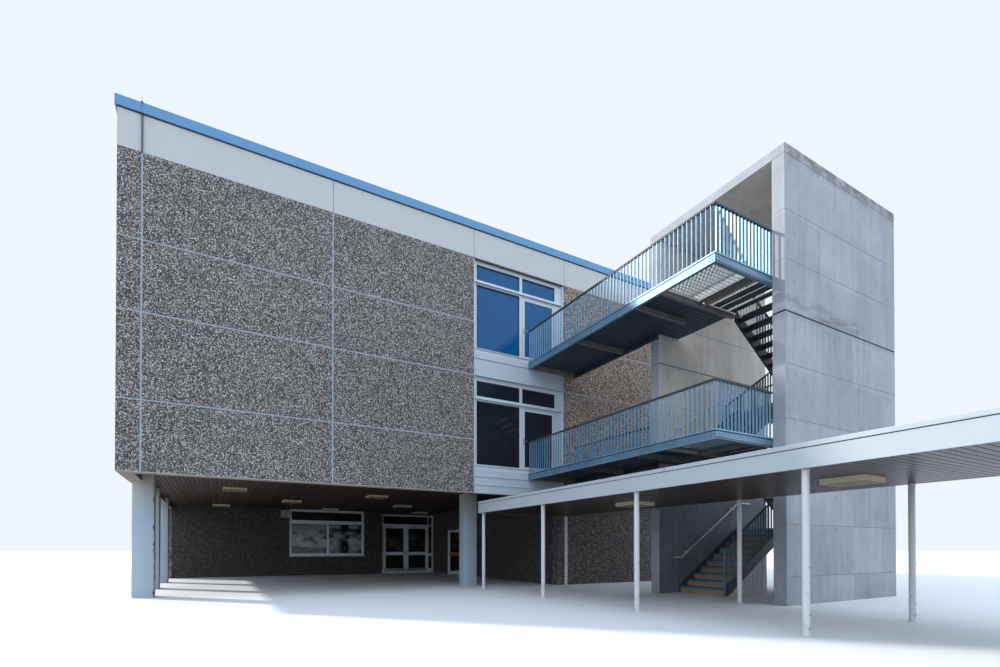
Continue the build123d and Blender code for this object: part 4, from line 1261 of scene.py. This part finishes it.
class SCHOOL_OT_tower(bpy.types.Operator):
    """Fair-faced concrete walls and roof of the stair tower, with formwork joints and tie holes"""
    bl_idname = "school.tower"
    bl_label = "Stair Tower"

    def execute(self, context):
        s = context.scene.school_concrete
        concrete = fair_concrete(s)
        joint = plain("cast_joint", (0.25, 0.26, 0.275), 0.8)
        deep_joint = plain("main_joint", (0.03, 0.03, 0.03), 0.8)
        levels = (0.62, 1.76, 2.92, 4.06, 5.25, 7.52, 8.60)
        groove = 0.012
        for node in ("tower_front_wall", "tower_back_wall"):
            low, high = grid_box(node)
            wall = cast(node + "_cast", low, high, (14.6, 15.6), (*levels, MAIN_JOINT - groove, MAIN_JOINT + groove))
            paint(wall, concrete, joint, deep_joint)
            in_level = in_groove(levels, 0.008)
            paint_where(wall, 1, lambda face: in_level(face) and abs(face.center.x - at(*low).x) > 0.01)
            paint_where(wall, 2 if node == "tower_front_wall" else 1, in_groove((MAIN_JOINT,), 0.021))
            mount(wall, "tower_concrete", replaces=(node,))
        low, high = grid_box("tower_roof")
        slab = cast("tower_roof_cast", low, high, (15.0,), groove=0.01)
        mount(slab, "tower_concrete", concrete, replaces=("tower_roof",))
        lips = [bar("gap", (low.x - 0.001, y - 0.001, low.z - 0.008), (high.x + 0.001, y + WALL + 0.001, low.z + 0.008),
                    0.002) for y in (low.y, high.y - WALL)]
        mount(joined("tower_roof_joint", lips), "tower_concrete", plain("roof_joint", (0.14, 0.13, 0.12), 0.8))
        self.tie_holes(s)
        return {"FINISHED"}

    def tie_holes(self, settings):
        """Round plugs of the formwork's ties, set back in both faces of both walls."""
        radius = settings.tie_hole
        hole = rod("tie_holes", (0, 0.004, 0), (0, -0.001, 0), radius, 16)
        inset(hole, looks_out, (radius * 0.2, 0), (radius * 0.1, -0.004))
        moves = []
        for z in (0.64, 1.69, 2.43, 3.99, 5.02, 6.06, 7.10, 8.14, 9.19):
            columns = (12.97, 14.6, 15.69, 17.14) if z < 2.5 else (12.97, 14.5, 15.61, 17.14)
            for x in columns:
                moves += [(Vector((x, y, z)), 0) for y in (STAIR_Y[0] - WALL, STAIR_Y[1])]
                moves += [turned(x, y, z, pi) for y in (STAIR_Y[0], STAIR_Y[1] + WALL)]
        hole = copied(hole, moves)
        paint(hole, plain("tie_ring", (0.10, 0.10, 0.10), 0.8), plain("tie_plug", (0.015, 0.015, 0.015), 0.8))
        paint_where(hole, 1, lambda face: abs(face.normal.y) > 0.9 and face.area > radius * radius)
        mount(hole, "tower_concrete")


class SCHOOL_OT_walkways(bpy.types.Operator):
    """Channels, beams, ribbed plates, gratings, planks, bolts and top rails of the two walkways"""
    bl_idname = "school.walkways"
    bl_label = "Walkways"

    def execute(self, context):
        s = context.scene.school_steel
        zinc = galvanised("galvanised", s.zinc)
        rail = plain("rail_dark", s.rail, 0.65)
        beam = galvanised("beam", s.beam, 0.1)
        plate = galvanised("plate", (0.05, 0.075, 0.11), 0.1)
        pale = galvanised("grating", (0.17, 0.215, 0.24), 0.1)
        plank = galvanised("plank", (0.11, 0.135, 0.155), 0.1)
        shadow = plain("steel_groove_painted_shadow", (0.02, 0.022, 0.025), 0.7)
        finish_nodes(zinc, "walkway_railings", "stair_landings")
        x0, x1 = WALKWAY_X
        x2 = STAIR_FOOT
        y0, y1 = STAIR_Y
        left, right = x0 + FLANGE, x1 - FLANGE
        near, far = y0 + FLANGE, FRONT_FLIGHT[1]
        at_wall, middle, last = -0.09, -2.42, -4.75
        joist = 0.085
        grating_end = 12.07
        edges, beams, plates, gratings, planks, bolts, caps = [], [], [], [], [], [], []
        for floor in FLOORS:
            low, high = floor - 0.2, floor - 0.001
            under = floor - 0.055
            deck = floor - 0.002
            edges.append(self.channel((x0, y0, low), (left, 0, high), 0))
            edges.append(self.channel((left, y0, low), (x2, near, high), 2))
            plates.append(self.channel((right, y1, low), (x1, at_wall, high), 1))
            for b, y, z in ((x1, at_wall, low), (right, middle, low + 0.02), (right, last, low + 0.01)):
                beams.append(self.joist((left, y, z), (b, y + joist, under)))
            beams.append(self.girder((grating_end + 0.06, near, low + 0.03), (grating_end + 0.16, far, floor - 0.035)))
            beams.append(self.joist((left, far, low + 0.04), (x2 - 0.01, far + FLANGE, under)))
            for b, c, d in ((right, middle + joist, at_wall), (right, y1, middle), (x2 - 0.01, far + FLANGE, y1)):
                plates.append(boarded("plate", (left, c, under), (b, d, high), "x", 0.12, 0.03, 0.012))
            gratings += self.grating(s, (left + 0.01, near + 0.01, deck), (grating_end, far - 0.01, deck))
            gratings.append(bar("frame", (grating_end, near + 0.01, floor - 0.06),
                                (grating_end + 0.04, far - 0.01, deck)))
            for a, b in ((12.24, 12.48), (12.58, 12.83), (12.86, 13.10), (13.20, 13.41)):
                planks.append(self.plank((a, near + 0.002, floor - 0.03), (b, far - 0.005, deck)))
            rows = (low + 0.06, high - 0.075)
            ys = [y0 + 0.06, y0 + 0.14, *(y + side for y in (last, middle) for side in (-0.04, 0.04, 0.12)),
                  at_wall - 0.03, at_wall + 0.04]
            bolts += [(x0, y, z, 0) for y in ys for z in rows]
            bolts += [(x, y0, z, 1) for x in (x0 + 0.06, x0 + 0.14, x1 - 0.2, x1 - 0.12) for z in rows]
            top = floor + RAILING
            for a, b, c, d in ((x0 - 0.004, x0 + 0.044, y0, 0), (x0, x1, y0 - 0.004, y0 + 0.044),
                               (x1 - 0.044, x1 + 0.004, y1 + WALL, 0)):
                caps.append(bar("cap", (a, c, top - 0.04), (b, d, top + 0.005), 0.005))
        edge = joined("walkway_channels", edges)
        paint(edge, zinc, shadow, galvanised("channel_foot_painted_shade", (0.10, 0.10, 0.105), 0.1),
              galvanised("channel_web_painted_shade", shade(s.zinc, 0.66)))

        def below_deck(face, least, most):
            return any(floor - most < face.center.z < floor - least for floor in FLOORS)

        # Painted shade on the channels: the outer web darker under the flange, the groove under the top flange near
        # black as shadow, the lower edge of the front faces dark grey.
        paint_where(edge, 3, lambda face: min(face.normal.x, face.normal.y) < -0.9 and below_deck(face, 0.043, 0.182))
        paint_where(edge, 1, lambda face: abs(face.normal.z) < 0.9 and below_deck(face, 0.018, 0.038))
        paint_where(edge, 2, lambda face: looks_out(face) and below_deck(face, 0.157, 0.2))
        mount(edge, "galvanised", replaces=("walkways",))
        for name, pieces, finish in (("walkway_beams", beams, beam), ("walkway_plates", plates, plate),
                                     ("walkway_gratings", gratings, pale), ("walkway_planks", planks, plank)):
            mount(joined(name, pieces), "galvanised", finish, replaces=("walkways",))
        mount(joined("walkway_top_rails", caps), "galvanised", rail)
        self.bolts(bolts, zinc)
        return {"FINISHED"}

    def channel(self, low, high, opening):
        """A steel channel with a groove under its top flange; opening is 0 for +X, 1 for -X and 2 for +Y."""
        piece = cube("channel", low, high)
        edit(piece)
        direction = (Vector((1, 0, 0)), Vector((-1, 0, 0)), Vector((0, 1, 0)))[opening]
        pick(piece, lambda face: face.normal.dot(direction) > 0.9)
        bpy.ops.mesh.inset(thickness=0.012, depth=-0.06)
        cut(2, *(high[2] - drop for drop in (0.014, 0.042, 0.155, 0.181)))
        pick(piece, lambda face: face.normal.dot(direction) < -0.9
             and high[2] - 0.042 < face.calc_center_median().z < high[2] - 0.014)
        bpy.ops.mesh.inset(thickness=0.0005, depth=-0.006)
        done()
        return piece

    def joist(self, low, high):
        """A rolled beam along X with its web set back on both sides."""
        return inset(cube("joist", low, high), square_to(1), (0.011, -0.034), each=True)

    def girder(self, low, high):
        """A rolled beam along Y with its web set back on both sides."""
        return inset(cube("girder", low, high), square_to(0), (0.013, -0.055), each=True)

    def plank(self, low, high):
        """A folded plate, hollow on its underside."""
        return inset(bar("plank", low, high, 0.004), looks_down, (0.012, 0), (0.002, -0.02))

    def grating(self, s, low, high):
        """Bars along Y on edge, with rods across them, their tops at the deck's level."""
        z1 = low[2]
        z0 = z1 - 0.022
        count = int((high[0] - low[0]) / s.bar_pitch)
        flat = cube("grating_bars", (low[0], low[1], z0), (low[0] + s.bar, high[1], z1))
        array(flat, count + 1, ((high[0] - low[0] - s.bar) / count, 0, 0))
        count = int((high[1] - low[1]) / 0.105)
        across = cube("grating_rods", (low[0], low[1], z1 - 0.009), (high[0], low[1] + 0.006, z1 - 0.001))
        array(across, count + 1, (0, (high[1] - low[1] - 0.006) / count, 0))
        return [flat, across]

    def bolts(self, places, material):
        """Hexagon bolt heads on washers."""
        head = rod("walkway_bolts", (0, 0.002, 0), (0, -0.012, 0), 0.014, 6)
        moves = [(Vector(place), 0) if facing else turned(*place, -pi / 2) for *place, facing in places]
        mount(copied(head, moves), "galvanised", material)


class SCHOOL_OT_stairs(bpy.types.Operator):
    """Nosings, risers, top rails, handrail brackets and landing joists of the four flights"""
    bl_idname = "school.stairs"
    bl_label = "Stairs"

    def execute(self, context):
        s = context.scene.school_steel
        stringer = galvanised("stringer", (0.045, 0.06, 0.065), 0.1)
        blue = galvanised("nosing", s.nosing, 0.1)
        finish_nodes(stringer, "stair_flight_1", "stair_flight_2", "stair_flight_3", "stair_flight_4")
        finish_nodes(galvanised("stair_rail", (0.09, 0.15, 0.165), 0.1), "stair_railings")
        finish_nodes(plain("handrail_tube", (0.80, 0.79, 0.77), 0.3, 0.2), "wall_handrails")
        finish_nodes(plain_paint("screen_grey", (0.88, 0.83, 0.80), wear=0.2, roughness=0.5), "stair_screen")
        levels = (0, TURNS[0], FLOORS[0], TURNS[1], FLOORS[1])
        nosings = []
        rails = []
        for i, (low, high) in enumerate(zip(levels, levels[1:])):
            rising, start, (y0, y1) = (-1, STAIR_HEAD, FRONT_FLIGHT) if i % 2 else (1, STAIR_FOOT, BACK_FLIGHT)
            rise = (high - low) / (TREADS + 1)
            for step in range(TREADS):
                x = start + rising * step * STEP
                top = low + (step + 1) * rise
                a, b = sorted((x - rising * 0.006, x + rising * 0.035))
                nosings.append((a, b, y0 + 0.041, y1 - 0.041, top))
            y = y0 if rising > 0 else y1 - 0.04
            foot = low + rise + 0.04 + RAILING
            rails.append(self.slope((start, foot), (start + rising * TREADS * STEP, foot + high - low - rise), y))
        lips = [bar("nosing", (a, c, top - 0.045), (b, d, top + 0.003), 0.004) for a, b, c, d, top in nosings]
        mount(joined("stair_nosings", lips), "galvanised", blue)
        for floor in TURNS:
            rails.append(bar("cap", (TURN_END - 0.023, STAIR_Y[0], floor + RAILING - 0.02),
                             (TURN_END + 0.023, STAIR_Y[1], floor + RAILING + 0.005), 0.005))
        mount(joined("stair_top_rails", rails), "galvanised", FINISHES["rail_dark"])
        self.risers(s)
        self.brackets()
        self.landings()
        return {"FINISHED"}

    def risers(self, settings):
        """Closed risers of the lowest flight and the newel at its foot."""
        rise = TURNS[0] / (TREADS + 1)
        plates = []
        for step in range(TREADS):
            x = STAIR_FOOT + step * STEP
            plates.append(bar("riser", (x + 0.012, -5.195, step * rise + 0.004),
                              (x + 0.02, -3.785, (step + 1) * rise - 0.04), 0.002))
        riser = joined("stair_risers", plates)
        f = Finish("riser")
        worn = f.noise(1.0, 4.0, 0.65, f.stretched(1.0, 3.0, 14.0))
        f.bump(f.noise(50.0, 3.0), 0.001, 0.3)
        f.surface(Base_Color=f.mix(worn, shade(settings.riser, 0.55), shade(settings.riser, 1.45)), Roughness=0.7)
        mount(riser, "galvanised", f.material)
        newel = bar("stair_newel", (13.385, -5.245, 0.0), (13.43, -5.2, 1.225), 0.004)
        mount(newel, "galvanised", galvanised("newel", (0.07, 0.22, 0.33), 0.1))

    def brackets(self):
        """Round wall plates of the handrails' brackets."""
        plates = []
        for low, high in zip((0.0, FLOORS[0]), TURNS):
            rise = (high - low) / (TREADS + 1)
            for t in (0.1, 0.5, 0.9):
                x, z = STAIR_FOOT + t * TREADS * STEP, low + 0.99 + t * rise * TREADS
                plates.append(rod("plate", (x, STAIR_Y[1], z), (x, STAIR_Y[1] - 0.012, z), 0.045, 20))
                plates.append(rod("saddle", (x, -3.81, z - 0.045), (x, -3.81, z - 0.012), 0.028, 16))
        mount(joined("handrail_plates", plates), "galvanised", plain("bracket_brass", (0.85, 0.68, 0.33), 0.4))

    def slope(self, start, end, y):
        """A sloping top rail, flat in section."""
        dx = end[0] - start[0]
        dz = end[1] - start[1]
        run = hypot(dx, dz)
        rail = cube("slope_rail", (-run / 2, -0.003, -0.02), (run / 2, 0.043, 0.005))
        rail.data.transform(Matrix.Translation(-HOME.xy.to_3d()))
        middle = at((start[0] + end[0]) / 2, y, (start[1] + end[1]) / 2)
        rail.data.transform(Matrix.Translation(middle) @ Matrix.Rotation(-atan(dz / dx), 4, "Y"))
        return bevel(rail, 0.006, 1)

    def landings(self):
        """Joists under the turns."""
        parts = []
        for floor in TURNS:
            for y in (-6.4, -5.6, -4.8, -4.1):
                joist = cube("joist", (STAIR_HEAD + 0.02, y, floor - 0.26), (TURN_END - 0.04, y + 0.08, floor - 0.2))
                parts.append(inset(joist, square_to(1), (0.01, -0.03), each=True))
        mount(joined("landing_joists", parts), "galvanised", FINISHES["galvanised"])


class SCHOOL_OT_canopy(bpy.types.Operator):
    """Boarded soffit, felt, edge flashing, seams, a painted shadow line under the flashing, and post fittings of the
    covered way
    """
    bl_idname = "school.canopy"
    bl_label = "Covered Way"

    def execute(self, context):
        timber = context.scene.school_timber
        boards = stained_boards(timber, "canopy_boards", "x", 0.32)
        white = self.scuffed("canopy_white", (0.51, 0.565, 0.60))
        posts = self.scuffed("post_white", (0.76, 0.77, 0.78))
        finish_nodes(white, "canopy_fascia")
        finish_nodes(posts, "canopy_posts")
        finish_nodes(boards, "canopy_roof")
        low, high = grid_box("canopy_roof")
        soffit("canopy_boards", (low.x, low.y, CANOPY_FACE), (high.x, high.y, CANOPY_FACE + 0.0065), "x", timber,
               0.0055, boards)
        cover = cube("canopy_felt", (low.x + 0.01, low.y + 0.01, high.z - 0.01),
                     (high.x - 0.01, high.y - 0.01, high.z + 0.008))
        edit(cover)
        cut(1, *(HOME.y + high.y - y for y in range(1, 13)))
        pick(cover, looks_up)
        bpy.ops.mesh.inset(thickness=0.01, depth=0.004, use_individual=True)
        done()
        mount(cover, "brown_boards", plain("roofing_felt", (0.20, 0.205, 0.21), 0.85, 0.0, 0.003))
        low, high = grid_box("canopy_fascia")
        out, inward, foot, top = 0.012, 0.05, 2.622, 2.69
        x0, x1, x2, x3 = low.x - out, low.x + inward, high.x - inward, high.x + out
        y0, y1, y2, y3 = low.y - out, low.y + inward, high.y - inward, high.y + out
        edges = [bar("edge", (a, c, foot), (b, d, top), 0.005)
                 for a, b, c, d in ((x0, x1, y0, y3), (x2, x3, y0, y3), (x1, x2, y0, y1), (x1, x2, y2, y3))]
        mount(joined("canopy_flashing", edges), "canopy_white", white)
        # The dark band just under the flashing is a painted shadow line.
        seams = [band("canopy_shadow_line", (low.x - 0.002, low.y - 0.002, foot - 0.01),
                      (high.x + 0.002, high.y + 0.002, foot))]
        for y in (-0.78, -7.28):
            for x in (x0, x3):
                seams.append(bar("seam", (x - 0.002, y - 0.004, foot), (x + 0.002, y + 0.004, top), 0.001))
        mount(joined("canopy_seams_and_shadow_line", seams), "canopy_white", plain("shadow_line", (0.05, 0.045, 0.04), 0.7))
        self.post_details(posts)
        return {"FINISHED"}

    def scuffed(self, name, base):
        """White paint, chipped in small dark marks up to hip height."""
        f = Finish(name)
        x, y, z = f.axes()
        cloud = f.noise(1.1, 4.0, 0.6)
        chips = f.noise(24.0, 3.0, 0.7) > 0.655
        low = 1.0 - z.between(0.25, 1.4)
        look = f.mix((cloud - 0.3) * 0.3, base, shade(base, 0.85))
        grime = f.noise(7.0, 4.0, 0.6).between(0.45, 0.7) * (1.0 - z.between(0.05, 0.45))
        look = f.mix(grime * 0.45, look, (0.33, 0.31, 0.28))
        look = f.mix(chips * low, look, (0.04, 0.035, 0.03))
        f.bump(f.noise(50.0, 3.0), 0.001, 0.25)
        return f.surface(Base_Color=look, Roughness=0.38)

    def post_details(self, finish):
        """Bolt heads, a weld collar at the head and a seat ring at the foot of each post."""
        rings = []
        bolts = []
        for i in range(5):
            y = 0.04 - POST_PITCH * i
            for x in POST_X:
                rings.append(rod("ring", (x, y, 0.0), (x, y, 0.012), 0.062, 24))
                rings.append(rod("ring", (x, y, 2.31), (x, y, 2.342), 0.058, 24))
                for z in (0.11, 0.3, 0.96):
                    bolts.append(rod("bolt", (x, y - 0.046, z), (x, y - 0.056, z), 0.009, 8))
        mount(smooth(joined("post_rings", rings)), "canopy_white", finish)
        mount(joined("post_bolts", bolts), "galvanised", plain("post_bolt", (0.05, 0.05, 0.055), 0.5, 0.5))


class SCHOOL_OT_stage(bpy.types.Operator):
    """Pale floor, soft light and the camera"""
    bl_idname = "school.stage"
    bl_label = "Stage"

    def execute(self, context):
        s = context.scene.school_stage
        clear()
        bpy.ops.mesh.primitive_plane_add(size=900, location=(0, 0, -0.002))
        floor = context.object
        floor.name = "floor"
        f = Finish("floor")
        path = f.add("ShaderNodeLightPath", {}, {}, "Is Camera Ray")
        glossy = f.add("ShaderNodeLightPath", {}, {}, "Is Glossy Ray")
        f.surface(Base_Color=f.mix(path.most(glossy), shade(s.floor, 0.3), s.floor), Roughness=0.9)
        paint(floor, f.material)
        bpy.ops.object.light_add(type="SUN")
        sun = context.object
        sun.name = "key"
        sun.data.energy = s.sun
        sun.data.angle = radians(2.5)
        sun.data.color = (1.0, 0.95, 0.88)
        sun.rotation_euler = Vector(SUN_FROM).to_track_quat("Z", "Y").to_euler()
        world = bpy.data.worlds.new("studio")
        context.scene.world = world
        world.use_nodes = True
        tree = world.node_tree
        light = tree.nodes["Background"]
        light.inputs["Color"].default_value = (0.74, 0.85, 1.0, 1.0)
        light.inputs["Strength"].default_value = s.sky
        seen = tree.nodes.new("ShaderNodeBackground")
        seen.inputs["Color"].default_value = (0.86, 0.92, 1.0, 1.0)
        path = tree.nodes.new("ShaderNodeLightPath")
        blend = tree.nodes.new("ShaderNodeMixShader")
        tree.links.new(path.outputs["Is Camera Ray"], blend.inputs[0])
        tree.links.new(light.outputs[0], blend.inputs[1])
        tree.links.new(seen.outputs[0], blend.inputs[2])
        tree.links.new(blend.outputs[0], tree.nodes["World Output"].inputs[0])
        bpy.ops.object.camera_add(location=CAMERA)
        camera = context.object
        camera.name = "camera"
        camera.rotation_euler = [radians(turn) for turn in CAMERA_TURN]
        camera.data.sensor_width = 36
        camera.data.lens = s.lens
        camera.data.shift_y = LENS_SHIFT
        camera.data.clip_end = 1500
        context.scene.camera = camera
        context.scene.view_settings.view_transform = "Standard"
        return {"FINISHED"}


OPERATORS = (
    SCHOOL_OT_cladding, SCHOOL_OT_roof, SCHOOL_OT_windows, SCHOOL_OT_strip, SCHOOL_OT_hall, SCHOOL_OT_doors,
    SCHOOL_OT_tower, SCHOOL_OT_walkways, SCHOOL_OT_stairs, SCHOOL_OT_canopy, SCHOOL_OT_stage)


class SCHOOL_PT_sidebar(bpy.types.Panel):
    """Lists the building's pieces and their settings"""
    bl_idname = "SCHOOL_PT_sidebar"
    bl_label = "School Building"
    bl_space_type = "VIEW_3D"
    bl_region_type = "UI"
    bl_category = "School"

    def draw(self, context):
        for name, group in SETTINGS.items():
            box = self.layout.box()
            box.label(text=group.__doc__)
            for key in group.__annotations__:
                box.prop(getattr(context.scene, name), key)
        for operator in OPERATORS:
            self.layout.operator(operator.bl_idname)


def register():
    for group in SETTINGS.values():
        bpy.utils.register_class(group)
    for name, group in SETTINGS.items():
        setattr(bpy.types.Scene, name, PointerProperty(type=group))
    for cls in (*OPERATORS, SCHOOL_PT_sidebar):
        bpy.utils.register_class(cls)


def unregister():
    for cls in (SCHOOL_PT_sidebar, *reversed(OPERATORS)):
        bpy.utils.unregister_class(cls)
    for name, group in SETTINGS.items():
        delattr(bpy.types.Scene, name)
        bpy.utils.unregister_class(group)


def main():
    """Makes every piece in order."""
    register()
    for operator in OPERATORS:
        getattr(bpy.ops.school, operator.bl_idname.split(".")[1])()


if __name__ == "__main__":
    main()
